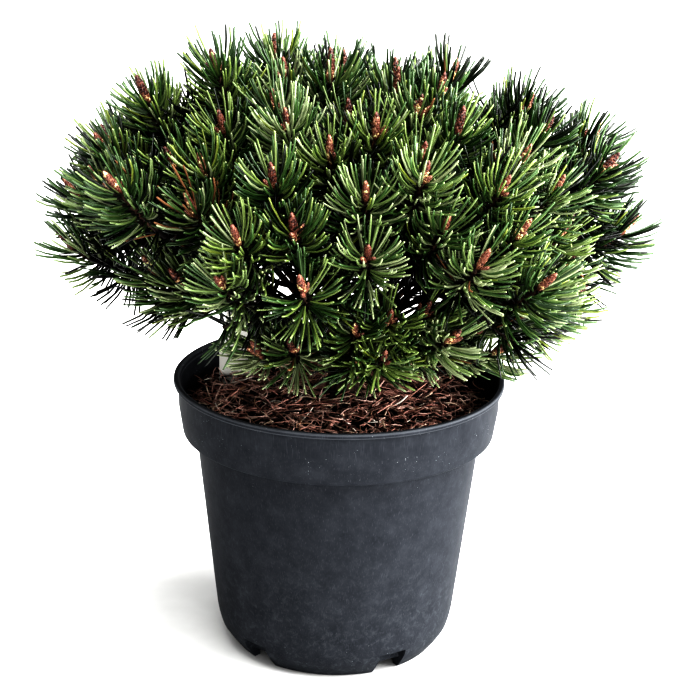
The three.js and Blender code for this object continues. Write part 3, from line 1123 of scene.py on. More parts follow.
@dataclass
class NurseryPot:
    """The pot: a thin moulded shell with a band under its lip, on five feet."""

    height: float = 221
    wall: float = 2
    foot_radius: float = 81.5
    foot_width: float = 6
    underside: float = 9
    floor: float = 11.5
    heel: tuple[Pair, Pair] = ((6, 7.5), (10.5, 14.5))
    corner_radius: float = 94.9
    corner_height: float = 24
    slope: float = 0.115
    band_height: float = 178
    band_foot: float = 122.8
    band_spread: float = 3.2
    band_rise: float = 21
    lip_height: float = 216.5
    lip_radius: float = 130
    lip_thickness: float = 4.2
    notches: int = 5
    first_notch: float = 30
    notch_width: float = 23
    notch_rounding: float = 1.5
    gap_radius: float = 60
    pocket_radius: float = 82
    pocket_top: float = 20
    steps: int = 150
    crisp_angle: float = 28
    finish: MouldedPolypropylene = MouldedPolypropylene()

    def wall_radius(self, height: float) -> float:
        """The outer radius of the plain wall at a height."""
        return self.corner_radius + self.slope * (height - self.corner_height)

    def shell(self) -> BMesh:
        """Turns the shell, lip and band in one piece with moulded corners.

        Returns:
            The shell, from its underside up the outside and down the inside.
        """
        foot, wall, corner, lip = self.foot_radius, self.wall, self.corner_radius, self.lip_radius
        shoulder = self.wall_radius(self.band_height - 1)
        band_top = self.band_foot + self.band_spread
        half_way = (self.corner_height + self.band_height) / 2
        (heel_out, heel_height), (ankle_out, ankle_height) = self.heel
        profile = [
            (0, self.underside),
            (foot - self.foot_width, self.underside),
            (foot - self.foot_width, 0),
            (foot, 0, 0.8),
            (foot + heel_out, heel_height),
            (foot + ankle_out, ankle_height),
            (corner, self.corner_height, 6.0),
            (self.wall_radius(half_way), half_way),
            (shoulder, self.band_height - 1),
            (self.band_foot - 0.2, self.band_height - 0.4, 1.0),
            (self.band_foot + 0.3, self.band_height + 2, 0.6),
            (band_top, self.band_height + self.band_rise),
            (lip - 3.4, self.lip_height - 0.6, 0.8),
            (lip - 0.3, self.lip_height + 0.6, 0.6),
            (lip, self.lip_height + 2),
            (lip - 0.2, self.height, 1.0),
            (lip - self.lip_thickness, self.height, 1.0),
            (lip - self.lip_thickness - 1.2, self.height - 3),
            (band_top - wall, self.band_height + self.band_rise),
            (self.band_foot - wall, self.band_height + 2),
            (shoulder - wall, self.band_height + 0.5),
            (corner - wall, self.corner_height, 3.0),
            (foot + 4, self.floor + 2),
            (foot - 2, self.floor),
            (0, self.floor),
        ]
        return turned(profile, self.steps)

    def radial_box(
        self, azimuth: float, inner: float, outer: float, width: float, bottom: float, top: float
    ) -> BMesh:
        """A box turned to an azimuth, from one radius out to another.

        Args:
            azimuth: degrees from the front towards +X.
            inner: the radius of its near face.
            outer: the radius of its far face.
            width: its width across.
            bottom: the height of its foot.
            top: the height of its top.

        Returns:
            The box.
        """
        bm = bmesh.new()
        centre = Matrix.Translation((0, -(inner + outer) / 2, (bottom + top) / 2))
        size = Matrix.Diagonal((width, outer - inner, top - bottom, 1))
        turn = Matrix.Rotation(math.radians(azimuth), 4, "Z")
        bmesh.ops.create_cube(bm, size=1, matrix=turn @ centre @ size)
        return bm

    def liner_fill(self) -> BMesh:
        """Turns everything inside the pot's outer corner, which bounds the pockets' liners.

        Returns:
            The solid.
        """
        _, (ankle_out, ankle_height) = self.heel
        profile = [
            (0, self.underside),
            (self.foot_radius, self.underside),
            (self.foot_radius + ankle_out - 0.5, ankle_height),
            (self.corner_radius - 0.5, self.corner_height),
            (0, self.corner_height),
        ]
        return turned(profile, self.steps)

    def cutters(self) -> dict[str, list[Object]]:
        """Makes the boxes that line, pocket and part the feet.

        Returns:
            The boxes as loose objects, by their use.
        """
        wall, width = self.wall, self.notch_width
        past, below = self.corner_radius + 5, -1
        low, high = self.underside + 0.5, self.pocket_top + wall
        sizes = {
            "liner": (self.pocket_radius - wall, self.foot_radius + 8, width + 2 * wall, low, high),
            "pocket": (self.pocket_radius, past, width, below, self.pocket_top),
            "gap": (self.gap_radius, past, width, below, self.underside),
        }
        made: dict[str, list[Object]] = {use: [] for use in sizes}
        for number in range(self.notches):
            azimuth = self.first_notch + 360 / self.notches * number
            for use, box in sizes.items():
                bm = self.radial_box(azimuth, *box)
                if use == "pocket":
                    uprights = [e for e in bm.edges if abs(e.verts[0].co.z - e.verts[1].co.z) > 1]
                    round_off(bm, uprights, self.notch_rounding, "EDGES")
                made[use].append(piece_from_bmesh(bm, f"cutter_{use}_{number}", smooth=False))
        return made

    def build(self) -> Object:
        """Builds the pot with its feet cut, and dresses it.

        Returns:
            The pot.
        """
        pot = piece_from_bmesh(self.shell(), "nursery_pot")
        fill = piece_from_bmesh(self.liner_fill(), "cutter_fill", smooth=False)
        cutters = self.cutters()
        for liner in cutters["liner"]:
            cut(liner, fill, "INTERSECT")
            cut(pot, liner, "UNION")
        for tool in cutters["pocket"] + cutters["gap"]:
            cut(pot, tool, "DIFFERENCE")
        for tool in [fill, *(tool for tools in cutters.values() for tool in tools)]:
            bpy.data.objects.remove(tool)
        soften(pot, self.crisp_angle)
        return settle(pot, [self.finish.material()], ["pot"])


def cut(target: Object, tool: Object, operation: str) -> None:
    """Joins, cuts or bounds one solid by another, and keeps the result as its mesh.

    Args:
        target: the solid that changes.
        tool: the other solid.
        operation: UNION, DIFFERENCE or INTERSECT.
    """
    modifier = target.modifiers.new(operation.lower(), "BOOLEAN")
    modifier.operation = operation
    modifier.object = tool
    modifier.solver = "EXACT"
    bpy.context.view_layer.update()
    evaluated = target.evaluated_get(bpy.context.evaluated_depsgraph_get())
    mesh = bpy.data.meshes.new_from_object(evaluated)
    target.modifiers.clear()
    target.data = mesh


def soften(obj: Object, angle: float) -> None:
    """Shades a piece smooth, with edges sharper than an angle left crisp.

    Args:
        obj: the piece.
        angle: the angle in degrees.
    """
    bm = bmesh.new()
    bm.from_mesh(obj.data)
    for face in bm.faces:
        face.smooth = True
    for edge in bm.edges:
        edge.smooth = not edge.is_manifold or edge.calc_face_angle(0.0) < math.radians(angle)
    bm.to_mesh(obj.data)
    bm.free()


# ---- the growing medium


def share_between(value: float, low: float, high: float) -> float:
    """How far a value has come from a low limit to a high one, kept from 0 to 1."""
    return min(max((value - low) / (high - low), 0), 1)


@dataclass
class GrowingMedium:
    """The medium: a low mound round the trunk, under a mat of fallen needles and chips."""

    pot: NurseryPot
    edge: float = 195
    inset: float = 0.7
    mound: float = 7
    ripple: float = 1.3
    ripple_pitch: Triple = (0.13, 0.11, 0.07)
    level: float = 24
    crumbs: tuple[Triple, ...] = ((0.13, 3, 2), (0.4, 9, 1))
    calm_edge: float = 6
    sunk: float = 0.8
    turn_steps: int = 120
    rings: int = 44
    needles: int = 2050
    needle_lengths: Pair = (13, 34)
    needle_radii: Pair = (0.45, 0.8)
    needle_heights: Pair = (0.2, 8)
    needle_pitch: float = 0.24
    needle_arch: Triple = (0.08, -0.12, 0.25)
    needle_cut: float = 0.45
    needle_chances: tuple[float, ...] = (0.22, 0.25, 0.2, 0.12, 0.08, 0.06, 0.02, 0.05)
    chips: int = 420
    chip_sides: int = 6
    chip_sizes: Pair = (1.6, 5.5)
    chip_tilt: float = 0.3
    chip_breadth: float = 0.6
    chip_thickness: float = 0.22
    chip_corners: Pair = (0.55, 1.0)
    chip_heights: Pair = (-0.2, 3.0)
    chip_colours: tuple[int, ...] = (2, 3, 4, 7)
    chip_chances: tuple[float, ...] = (0.2, 0.35, 0.35, 0.1)
    sticks: int = 16
    stick_halves: Pair = (8, 24)
    stick_radii: Pair = (1.0, 2.2)
    stick_heights: Pair = (2.5, 5)
    stick_tilt: float = 0.05
    stick_bend: float = 3
    stick_arch: float = 1.5
    stick_knots: tuple[float, ...] = (1, 1.1, 0.9, 1)
    stick_colours: tuple[int, ...] = (1, 2, 7)
    seed: int = 41
    finish: CompostedBark = CompostedBark()
    litter_finish: PlainTones = DRY_LITTER

    @property
    def rim(self) -> float:
        """The medium's radius at its surface."""
        return self.pot.band_foot + 1.4 - self.pot.wall - self.inset

    def height(self, x: float, y: float) -> float:
        """The surface's height at a place, level round the trunk.

        Args:
            x: the place to the right of the pot's axis.
            y: the place behind it.

        Returns:
            The height over the ground.
        """
        radius = math.hypot(x, y)
        a, b, c = self.ripple_pitch
        wave = math.sin(a * x + 0.6) * math.cos(b * y) + 0.6 * math.sin(c * (x - 2 * y))
        edge_radius = self.pot.wall_radius(self.edge)
        mound = self.mound * (1 - (max(radius, self.level) / edge_radius) ** 2)
        share = share_between(radius, self.level, self.level + 20)
        return self.edge + mound + self.ripple * share * wave

    def build_body(self) -> Object:
        """Builds the body of the medium with its crumbled surface.

        Returns:
            The body.
        """
        pot = self.pot
        inset = pot.wall + self.inset
        low = pot.pocket_radius - pot.wall - 2
        shares = np.linspace(0, 0.98, self.rings)[::-1]
        profile = [
            (0, pot.floor + 0.3),
            (low, pot.floor + 0.5),
            (low, pot.pocket_top + 4),
            (pot.wall_radius(pot.corner_height + 4) - inset, pot.corner_height + 4),
            (pot.wall_radius(pot.band_height) - inset - 0.4, pot.band_height + 0.9),
            (pot.band_foot - inset - 0.5, pot.band_height + 4),
            (self.rim, self.edge),
            *((float(share) * self.rim, self.edge) for share in shares),
        ]
        bm = turned(profile, self.turn_steps)
        for vert in bm.verts:
            if vert.co.z < self.edge - 0.01:
                continue
            x, y = vert.co.x, vert.co.y
            inwards = 1 - share_between(math.hypot(x, y), self.rim - self.calm_edge, self.rim)
            crumbs = sum(
                rise * noise.noise(Vector((x, y, layer)) * pitch)
                for pitch, layer, rise in self.crumbs
            )
            vert.co.z = self.height(x, y) + inwards * crumbs - self.sunk
        body = piece_from_bmesh(bm, "growing_medium_surface")
        return settle(body, [self.finish.material()], ["growing_medium"])

    def build_litter(self) -> Object:
        """Builds the mat of fallen needles, chips of bark and bits of twig.

        Returns:
            The mat, as one piece.
        """
        rng = np.random.default_rng(self.seed)
        heap = Heap()
        self.lay_needles(heap, rng)
        self.lay_chips(heap, rng)
        self.lay_sticks(heap, rng)
        mat = heap.joined("fallen_needles_and_chips")
        return settle(mat, self.litter_finish.materials())

    def places(self, rng: Generator, count: int, inset: float) -> Array:
        """Places on the surface, even over its area.

        Args:
            rng: the source of chance.
            count: how many.
            inset: how far they keep from the wall.

        Returns:
            Points in millimetres.
        """
        radius = (self.rim - inset) * np.sqrt(rng.random(count))
        turn = 2 * math.pi * rng.random(count)
        x, y = radius * np.cos(turn), radius * np.sin(turn)
        return np.c_[x, y, [self.height(a, b) for a, b in zip(x, y)]]

    def lay_needles(self, heap: Heap, rng: Generator) -> None:
        """Lays the fallen needles, bowed and criss-cross, in a mat some millimetres thick. One
        that would reach past the wall is cut short.

        Args:
            heap: where they go.
            rng: the source of chance.
        """
        count = self.needles
        middle = self.places(rng, count, 3)
        turn = 2 * math.pi * rng.random(count)
        pitch = rng.normal(0, self.needle_pitch, count)
        way = np.c_[np.cos(turn) * np.cos(pitch), np.sin(turn) * np.cos(pitch), np.sin(pitch)]
        side = unit(np.cross(way, UP))
        length = rng.uniform(*self.needle_lengths, count)
        bow = rng.normal(0, 1.0, count)[:, None]
        middle[:, 2] += rng.uniform(*self.needle_heights, count)
        start = middle - way * length[:, None] / 2
        over = np.hypot(start[:, 0], start[:, 1]) > self.rim - 1
        ends = start + way * length[:, None]
        over |= np.hypot(ends[:, 0], ends[:, 1]) > self.rim - 1
        length = np.where(over, self.needle_cut * length, length)
        start = middle - way * length[:, None] / 2
        rise, fall, spread = self.needle_arch
        near = unit(way + side * bow + UP * rng.normal(rise, spread, count)[:, None])
        far = unit(way - side * bow + UP * rng.normal(fall, spread, count)[:, None])
        blades = NeedleRow(start, near, far, length, rng.uniform(*self.needle_radii, count))
        points, faces, _ = blades.arrays(FALLEN_TAPER, rng)
        colours = rng.choice(len(self.needle_chances), count, p=self.needle_chances)
        heap.add(points, faces, np.repeat(colours, len(faces) // count))

    def lay_chips(self, heap: Heap, rng: Generator) -> None:
        """Lays chips of bark, each a flat six-sided flake.

        Args:
            heap: where they go.
            rng: the source of chance.
        """
        count, corners = self.chips, self.chip_sides
        middle = self.places(rng, count, 8)
        middle[:, 2] += rng.uniform(*self.chip_heights, count)
        way = unit(rng.normal(0, 1, (count, 3)) * [1, 1, self.chip_tilt])
        first, second = across(way, np.broadcast_to(UP, way.shape) + 0.01)
        size = rng.uniform(*self.chip_sizes, count)[:, None]
        angles = 2 * math.pi * np.arange(corners)[:, None] / corners
        stretch = rng.uniform(*self.chip_corners, (count, corners, 1))
        long, broad = (way * size)[:, None], (first * size * self.chip_breadth)[:, None]
        ring = middle[:, None] + (long * np.cos(angles) + broad * np.sin(angles)) * stretch
        peak = second * size * self.chip_thickness
        peaks = np.stack([middle + peak, middle - peak], axis=1)
        points = np.concatenate([ring, peaks], axis=1).reshape(-1, 3)
        faces = []
        for k in range(corners):
            following = (k + 1) % corners
            faces += [(k, following, corners), (following, k, corners + 1)]
        block = repeated(faces, corners + 2, count)
        colours = rng.choice(self.chip_colours, count, p=self.chip_chances)
        heap.add(points, block, np.repeat(colours, len(faces)))

    def lay_sticks(self, heap: Heap, rng: Generator) -> None:
        """Lays short bits of bare twig.

        Args:
            heap: where they go.
            rng: the source of chance.
        """
        for place in self.places(rng, self.sticks, 25):
            turn = 2 * math.pi * rng.random()
            way = np.array([math.cos(turn), math.sin(turn), rng.normal(0, self.stick_tilt)])
            half = rng.uniform(*self.stick_halves)
            lifted = place + UP * rng.uniform(*self.stick_heights)
            bend = lifted + np.array([*rng.normal(0, self.stick_bend, 2), self.stick_arch])
            arc = Arc(lifted - way * half, bend, lifted + way * half)
            girths = rng.uniform(*self.stick_radii) * np.array(self.stick_knots)
            points, faces = tube(arc, girths, 7, rng, 0.14)
            heap.add(points, faces, int(rng.choice(self.stick_colours)))


# ---- the plant


@dataclass(frozen=True)
class SprayHabit:
    """How the needles of one sort of shoot stand: how many pairs, over what length of shoot, how
    far they lean out at its foot and tip in degrees, how long, thick and dark they are, whether
    they show their sheaths, how far they curl in, and what share of them is dead."""

    pairs: int
    zone: float
    low_lean: float
    high_lean: float
    length: float
    radius: float
    tone: float
    sheathed: bool
    curl: float
    droop: float = 0.0
    dead: float = 0.012


class ShootSort(Enum):
    """The sorts of shoot, from the leading ones at the dome to the old needles inside. Side, inner
    and old shoots take the dark steps of the greens as painted shade of the crown's inside.
    """

    LEADING = SprayHabit(50, 35, 74, 18, 38.5, 1.02, 1.4, True, 0.7, dead=0.002)
    # painted shade: side, inner and old sprays are toned deep to near black for the shade inside
    # the crown
    SIDE = SprayHabit(21, 28, 76, 24, 36, 0.95, 4.5, False, 0.5)
    INNER = SprayHabit(16, 30, 82, 35, 34, 0.9, 5.1, False, 0.3)
    OLD = SprayHabit(10, 30, 88, 62, 33, 0.9, 4.5, False, 0.1, 0.2)


@dataclass(frozen=True)
class PairHabit:
    """How the pairs of needles vary within a spray: by how much they turn, in radians, and lean,
    in degrees, how far the two of a pair part, and between which shares of the spray's own
    length, curl and thickness they are. A pair is rooted a little out from the shoot's centre
    line and from its twin, in millimetres."""

    turn_spread: float = 0.2
    lean_spread: float = 5
    lean_curve: float = 0.85
    shortest_zone: float = 0.05
    gapes: Pair = (0.05, 0.13)
    lengths: Pair = (0.86, 1.1)
    twin_lengths: Pair = (0.97, 1.03)
    curls: Pair = (0.4, 1.5)
    curl_back: float = 0.3
    radii: Pair = (0.9, 1.1)
    root_out: float = 1.2
    twin_out: float = 0.25


@dataclass(frozen=True)
class NeedleDepth:
    """How far down needles hang: from a skirt that rises outwards, with a hollow round the trunk.
    Each of its rises is a slope, and where it starts, how far out from the trunk."""

    skirt: float = 226
    bare_radius: float = 128
    bare_height: float = 118
    left_slope: float = 0.32
    flatter_ahead: float = 0.6
    right_slope: float = -0.04
    right_ahead: Pair = (0.2, 110)
    ahead_at: float = 90
    left_edge: Pair = (0.35, 150)
    right_edge: Pair = (1.2, 165)
    front_edge: Pair = (0.3, 60)
    back_edge: Pair = (0.55, 60)

    def at(self, places: Array) -> Array:
        """Works out the lowest height that needles hang down to.

        Args:
            places: points in millimetres.

        Returns:
            The height at each of them.
        """
        x, y, _ = places.T
        left, right = np.maximum(-x, 0), np.maximum(x, 0)
        ahead = np.clip(-y / self.ahead_at, 0, 1)
        slope, widest = self.right_ahead
        tilt = self.left_slope * left * (1 - self.flatter_ahead * ahead)
        tilt += self.right_slope * right + slope * ahead * np.minimum(right, widest)
        sides = ((left, self.left_edge), (right, self.right_edge))
        ends = ((-y, self.front_edge), (y, self.back_edge))
        edges = sum(rise * np.maximum(out - start, 0) for out, (rise, start) in sides + ends)
        bare = self.bare_height * np.clip(1 - (np.hypot(x, y) / self.bare_radius) ** 2, 0, 1)
        return self.skirt + tilt + edges + bare


@dataclass(frozen=True)
class CrownShade:
    """How the light in the crown tones its needles: darker at the crown's edge, more so on the
    right, and lighter low down in front and behind, where the pale ground lights them."""

    centre_height: float = 300
    forward_fall: float = 0.34
    half_width: float = 242
    rise: float = 185
    edge_from: float = 0.88
    left_steps: float = 1.2
    right_steps: float = 1.8
    lit_steps: float = 2.4
    lit_heights: Pair = (330, 240)
    lit_widths: Pair = (160, 90)

    def steps(self, tips: Array) -> Array:
        """Works out by how many steps of the greens each needle is darker than its spray.

        Args:
            tips: where the needles end, in millimetres.

        Returns:
            The steps for each.
        """
        x, y, z = tips.T
        up = np.maximum(z + self.forward_fall * y - self.centre_height, 0)
        out = np.hypot(x / self.half_width, up / self.rise)
        edge = np.where(x > 0, self.right_steps, self.left_steps)
        edge = edge * np.clip((out - self.edge_from) / (1 - self.edge_from), 0, 1)
        low = 1.0
        for far, (none, full) in ((z, self.lit_heights), (np.abs(x), self.lit_widths)):
            low = low * np.clip((none - far) / (none - full), 0, 1)
        return edge - self.lit_steps * low


@dataclass(frozen=True)
class WinterBud:
    """An egg-shaped winter bud under spiral rows of pointed scales. How far a scale rises, seats
    and spreads is a share of the bud's own length and girth; its keel, foot and back are in
    millimetres."""

    length: float = 21
    radius: float = 2.9
    outline: tuple[float, ...] = (0.66, 0.88, 0.98, 1.0, 0.98, 0.9, 0.68, 0.24)
    girth_kept: float = 0.35
    core: float = 0.95
    core_sides: int = 9
    large: float = 0.6
    large_scales: int = 42
    small_scales: int = 25
    scaled: float = 0.86
    scale_seat: float = 0.9
    scale_rise: float = 0.22
    scale_follows: float = 0.2
    scale_flare: float = 0.03
    scale_breadth: float = 0.7
    least_girth: float = 0.9
    shoulders: float = 0.4
    keel_at: float = 0.45
    keel: float = 0.12
    foot_sunk: float = 0.2
    back: float = 0.3
    pale_shares: tuple[float, ...] = (0.0, 0.25, 0.5)
    dark_buds: float = 0.45
    dark_chances: tuple[float, ...] = (0.3, 0.1, 0.55, 0.03, 0.01, 0.01)
    light_chances: tuple[float, ...] = (0.3, 0.45, 0.05, 0.15, 0.03, 0.02)
    pale_chances: tuple[float, ...] = (0.05, 0.2, 0.0, 0.3, 0.25, 0.2)

    def add(self, foot: Array, axis: Array, size: float, buds: Heap, rng: Generator) -> None:
        """Adds one bud: its core, and then its scales in a spiral, each a thin closed kite with
        a keel.

        Args:
            foot: the middle of its foot.
            axis: the way that it points.
            size: its size as a share of the usual one.
            buds: where it goes.
            rng: the source of chance.
        """
        kept = self.girth_kept
        length, radius = self.length * size, self.radius * (kept + (1 - kept) * size)
        outline = np.array(self.outline) * radius
        arc = Arc(foot - axis * 0.5, foot + axis * length / 2, foot + axis * length)
        points, faces = tube(arc, outline * self.core, self.core_sides, rng, 0.02)
        buds.add(points, faces, 1)
        first, second = across(axis[None], np.array([[0.2, 0.5, 1.0]]))
        scales = self.large_scales if size > self.large else self.small_scales
        number = np.arange(scales)[:, None]
        heights = (number + 0.5) / scales * self.scaled
        turns = number * GOLDEN_ANGLE
        outs = first * np.cos(turns) + second * np.sin(turns)
        shares = np.linspace(0.0, 1.0, len(outline))
        here = np.interp(heights, shares, outline)
        there = np.interp(np.minimum(heights + self.scale_follows, 1), shares, outline)
        places = foot + axis * heights * length + outs * here * self.scale_seat
        flare = self.scale_flare * radius
        ways = axis * (self.scale_rise * length) + outs * (there - here + flare)
        girths = np.maximum(here, self.least_girth)
        breadths = np.cross(axis, outs) * girths * self.scale_breadth
        shoulders, middles = places + ways * self.shoulders, places + ways * self.keel_at
        corners = (
            places - outs * self.foot_sunk,
            shoulders + breadths,
            places + ways,
            shoulders - breadths,
            middles + outs * (self.keel + flare),
            middles - outs * self.back,
        )
        kite = [(k, (k + 1) % 4, 4) for k in range(4)] + [((k + 1) % 4, k, 5) for k in range(4)]
        points = np.stack(corners, axis=1).reshape(-1, 3)
        looks = np.repeat(self.deal_looks(scales, rng), len(kite))
        buds.add(points, repeated(kite, len(corners), scales), looks)

    def deal_looks(self, count: int, rng: Generator) -> Array:
        """Deals colours to a bud's scales: dark or light buds, some of them pale at the foot.

        Args:
            count: how many scales it has.
            rng: the source of chance.

        Returns:
            The material number of each scale.
        """
        low = np.arange(count) < count * rng.choice(self.pale_shares)
        chances = self.dark_chances if rng.random() < self.dark_buds else self.light_chances
        plain = rng.choice(len(chances), count, p=chances)
        return np.where(low, rng.choice(len(chances), count, p=self.pale_chances), plain)


@dataclass
class Heaps:
    """The heaps that shoots add to: their bark, their needles and their buds' scales."""

    twigs: Heap
    needles: Heap
    buds: Heap


@dataclass
class Foliage:
    """The masses: every stem carried on to shoots, side shoots, inner shoots and winter buds. A
    gap is a rod of clear air through the crown, from one x and z in front to one x and z behind,
    with its radius. The window is the label's view from the front: its sides and its top. The
    lip's band is how far inwards and outwards of its edge the needles keep above it."""

    growth: Growth
    medium: GrowingMedium
    seed: int = 9001
    stem_girth: float = 2.3
    stem_tip: float = 2.0
    twig_girth: float = 2.0
    twig_tip: float = 1.7
    short_girths: tuple[float, ...] = (1.6, 1.7, 1.5, 1.4, 1.2)
    inner_forks: tuple[float, ...] = (0.24, 0.33, 0.42, 0.5, 0.57)
    inner_reach: Pair = (32, 46)
    inner_lean: Pair = (0.55, 0.25)
    side_forks: Pair = (0.34, 0.5)
    second_side: float = 0.45
    side_reach: Pair = (0.36, 0.5)
    side_turn: float = 2.2
    side_spread: float = 0.3
    side_lean: Pair = (0.8, 0.85)
    upturn: float = 0.45
    lowest_tip: float = 12
    young_from: float = 0.55
    bud_lift: float = 0.25
    bud_spread: float = 0.05
    bud_sizes: Pair = (0.75, 1.15)
    neighbours: tuple[int, ...] = (0, 1, 1, 2, 3)
    neighbour_sizes: Pair = (0.38, 0.7)
    neighbour_lean: float = 0.55
    neighbour_out: float = 1.8
    neighbour_back: float = 2
    ground_clear: float = 3
    lip_band: Pair = (8, 2)
    lip_clear: float = 1
    window: Triple = (-108, -72, 270)
    window_depth: float = 45
    window_slope: float = 0.33
    window_thinned: float = 0.2
    gap_depth: float = 150
    gaps: tuple[tuple[float, float, float, float, float], ...] = (
        (-38, 341, -47, 249, 10.5),
        (-18, 335, -22, 241, 8.5),
        (48, 333, 58, 239, 10.5),
        (-93, 306, -114, 206, 9),
        (107, 299, 131, 197, 6.5),
        (94, 488, 114, 428, 7),
    )
    browned: tuple[str, int] = ("front_left_high", 2)
    browned_share: float = 0.12
    spray_spread: float = 0.36
    needle_spread: float = 1.05
    yellowed: float = 0.02
    pale_tipped: float = 0.2
    fresh_sprays: float = 0.5
    fresh_needles: float = 0.75
    pair: PairHabit = PairHabit()
    depth: NeedleDepth = NeedleDepth()
    shade: CrownShade = CrownShade()
    bud: WinterBud = WinterBud()
    needle_finish: WaxedNeedle = WaxedNeedle()
    bud_finish: PlainTones = BUD_SCALE
    twig_finish: PlainTones = TWIG_BARK

    def build(self) -> None:
        """Builds and dresses every mass: its needles as one piece, all twigs and buds as others."""
        needle_looks = self.needle_finish.materials()
        twigs, buds = Heap(), Heap()
        for bough in self.growth.boughs():
            rng = np.random.default_rng(self.seed + bough.index)
            heaps = Heaps(twigs, Heap(), buds)
            self.grow_stem(bough, heaps, rng)
            for shoot in self.growth.leading_shoots(bough):
                self.grow_leading(bough, shoot, heaps)
            piece = heaps.needles.joined(f"needles_{bough.name}")
            settle(piece, needle_looks, [f"mass_{bough.name}"])
        settle(twigs.joined("twigs"), self.twig_finish.materials())
        settle(buds.joined("winter_buds"), self.bud_finish.materials())

    def grow_stem(self, bough: Bough, heaps: Heaps, rng: Generator) -> None:
        """Grows a mass's stem with short inner shoots along it and along the outer bough.

        Args:
            bough: the bough that carries the mass.
            heaps: where they go.
            rng: the source of chance.
        """
        growth = self.growth
        foot, top = bough.on_axis(growth.bough_end), bough.on_axis(growth.stem_end)
        stem = Arc(foot, (foot + top) / 2, top)
        points, faces = tube(stem, np.linspace(self.stem_girth, self.stem_tip, 8), 8, rng, 0.14)
        heaps.twigs.add(points, faces, 1)
        phase = 2 * math.pi * rng.random()
        onwards, upwards = self.inner_lean
        for number, share in enumerate(self.inner_forks):
            sideways = turned_about(bough.direction, phase + number * GOLDEN_ANGLE)
            way = unit(bough.direction * onwards + sideways + upwards * UP)
            reach = rng.uniform(*self.inner_reach)
            self.grow_short(bough.on_axis(share), way, reach, ShootSort.INNER, heaps, rng)

    def grow_short(
        self, fork: Array, way: Array, reach: float, sort: ShootSort, heaps: Heaps, rng: Generator
    ) -> None:
        """Grows a short shoot that turns up towards its tip, if its tip isn't too low.

        Args:
            fork: where it leaves its parent.
            way: the way it leaves in.
            reach: its length.
            sort: the sort of shoot.
            heaps: where it goes.
            rng: the source of chance.
        """
        bend = fork + way * reach * 0.5
        end = bend + unit(way + self.upturn * UP) * reach * 0.5
        if end[2] < self.depth.at(end[None])[0] + self.lowest_tip:
            return
        arc = Arc(fork, bend, end)
        points, faces = tube(arc, self.short_girths, 6, rng, 0.16)
        heaps.twigs.add(points, faces, 1)
        self.dress_shoot(arc, sort, heaps.needles, rng)

    def grow_leading(self, bough: Bough, shoot: Shoot, heaps: Heaps) -> None:
        """Grows a leading shoot with its needles, its side shoots, its old needles and its buds.

        Args:
            bough: the bough that carries it.
            shoot: the shoot, whose seed gives its source of chance.
            heaps: where it goes.
        """
        rng = np.random.default_rng(shoot.seed)
        twig = shoot.twig
        girths = np.linspace(self.twig_girth, self.twig_tip, 12)
        points, faces = tube(twig, girths, 7, rng, 0.13)
        young = faces.mean(axis=1) > len(points) * self.young_from
        heaps.twigs.add(points, faces, np.where(young, 0, 2))
        dead = self.browned_share if (bough.name, shoot.number) == self.browned else 0.0
        self.dress_shoot(twig, ShootSort.LEADING, heaps.needles, rng, dead=dead)
        from_tip = ShootSort.LEADING.value.zone - 4
        self.dress_shoot(twig, ShootSort.OLD, heaps.needles, rng, from_tip)
        self.set_buds(shoot, heaps.buds, rng)
        turn = 2 * math.pi * rng.random()
        forks = self.side_forks if rng.random() < self.second_side else self.side_forks[:1]
        onwards, outwards = self.side_lean
        for number, share in enumerate(forks):
            start = float(twig.by_length(share))
            fork, way = twig.at(start), twig.heading(start)
            angle = turn + number * self.side_turn + rng.normal(0, self.side_spread)
            leaving = unit(way * onwards + turned_about(way, angle) * outwards)
            reach = twig.length() * rng.uniform(*self.side_reach)
            self.grow_short(fork, leaving, reach, ShootSort.SIDE, heaps, rng)

    def dress_shoot(
        self,
        arc: Arc,
        sort: ShootSort,
        needles: Heap,
        rng: Generator,
        from_tip: float = 0.0,
        dead: float = 0.0,
    ) -> None:
        """Sets pairs of needles round a shoot by the golden angle.

        Args:
            arc: the shoot's centre line.
            sort: the sort of shoot.
            needles: where the needles go.
            rng: the source of chance.
            from_tip: how far short of the tip the zone of needles ends.
            dead: the least share of its needles that are dead.
        """
        habit: SprayHabit = replace(sort.value, dead=max(sort.value.dead, dead))
        pair, pairs, length = self.pair, habit.pairs, arc.length()
        top = 1 - from_tip / length
        zone = min(habit.zone / length, max(top - pair.shortest_zone, pair.shortest_zone))
        height = (np.arange(pairs) + rng.random(pairs)) / pairs
        along = arc.by_length(top - zone * (1 - height))
        centres, ways = arc.at(along), arc.heading(along)
        first, second = across(ways, np.broadcast_to(unit(UP + [0.3, 0.2, 0]), ways.shape))
        turn = 2 * math.pi * rng.random() + GOLDEN_ANGLE * np.arange(pairs)
        turn = (turn + rng.normal(0, pair.turn_spread, pairs))[:, None]
        radial = first * np.cos(turn) + second * np.sin(turn)
        lean = habit.low_lean + (habit.high_lean - habit.low_lean) * height**pair.lean_curve
        lean = np.radians(lean + rng.normal(0, pair.lean_spread, pairs))[:, None]
        stand = radial * np.sin(lean) + ways * np.cos(lean)
        one, other = across(stand, ways + 0.01)
        roll = 2 * math.pi * rng.random(pairs)[:, None]
        split = one * np.cos(roll) + other * np.sin(roll)
        gape = rng.uniform(*pair.gapes, pairs)[:, None]
        shared = habit.length * rng.uniform(*pair.lengths, pairs)
        roots, root_ways, tip_ways, lengths = [], [], [], []
        for sign in (-1, 1):
            way = unit(stand + sign * gape * split)
            curl = habit.curl * rng.uniform(*pair.curls, pairs)[:, None]
            roots.append(centres + radial * pair.root_out + sign * split * pair.twin_out)
            root_ways.append(unit(way + curl * radial - pair.curl_back * curl * ways))
            tip_ways.append(unit(way + curl * ways - habit.droop * UP))
            lengths.append(shared * rng.uniform(*pair.twin_lengths, pairs))
        radii = habit.radius * rng.uniform(*pair.radii, 2 * pairs)
        row = NeedleRow(*map(np.concatenate, (roots, root_ways, tip_ways, lengths)), radii)
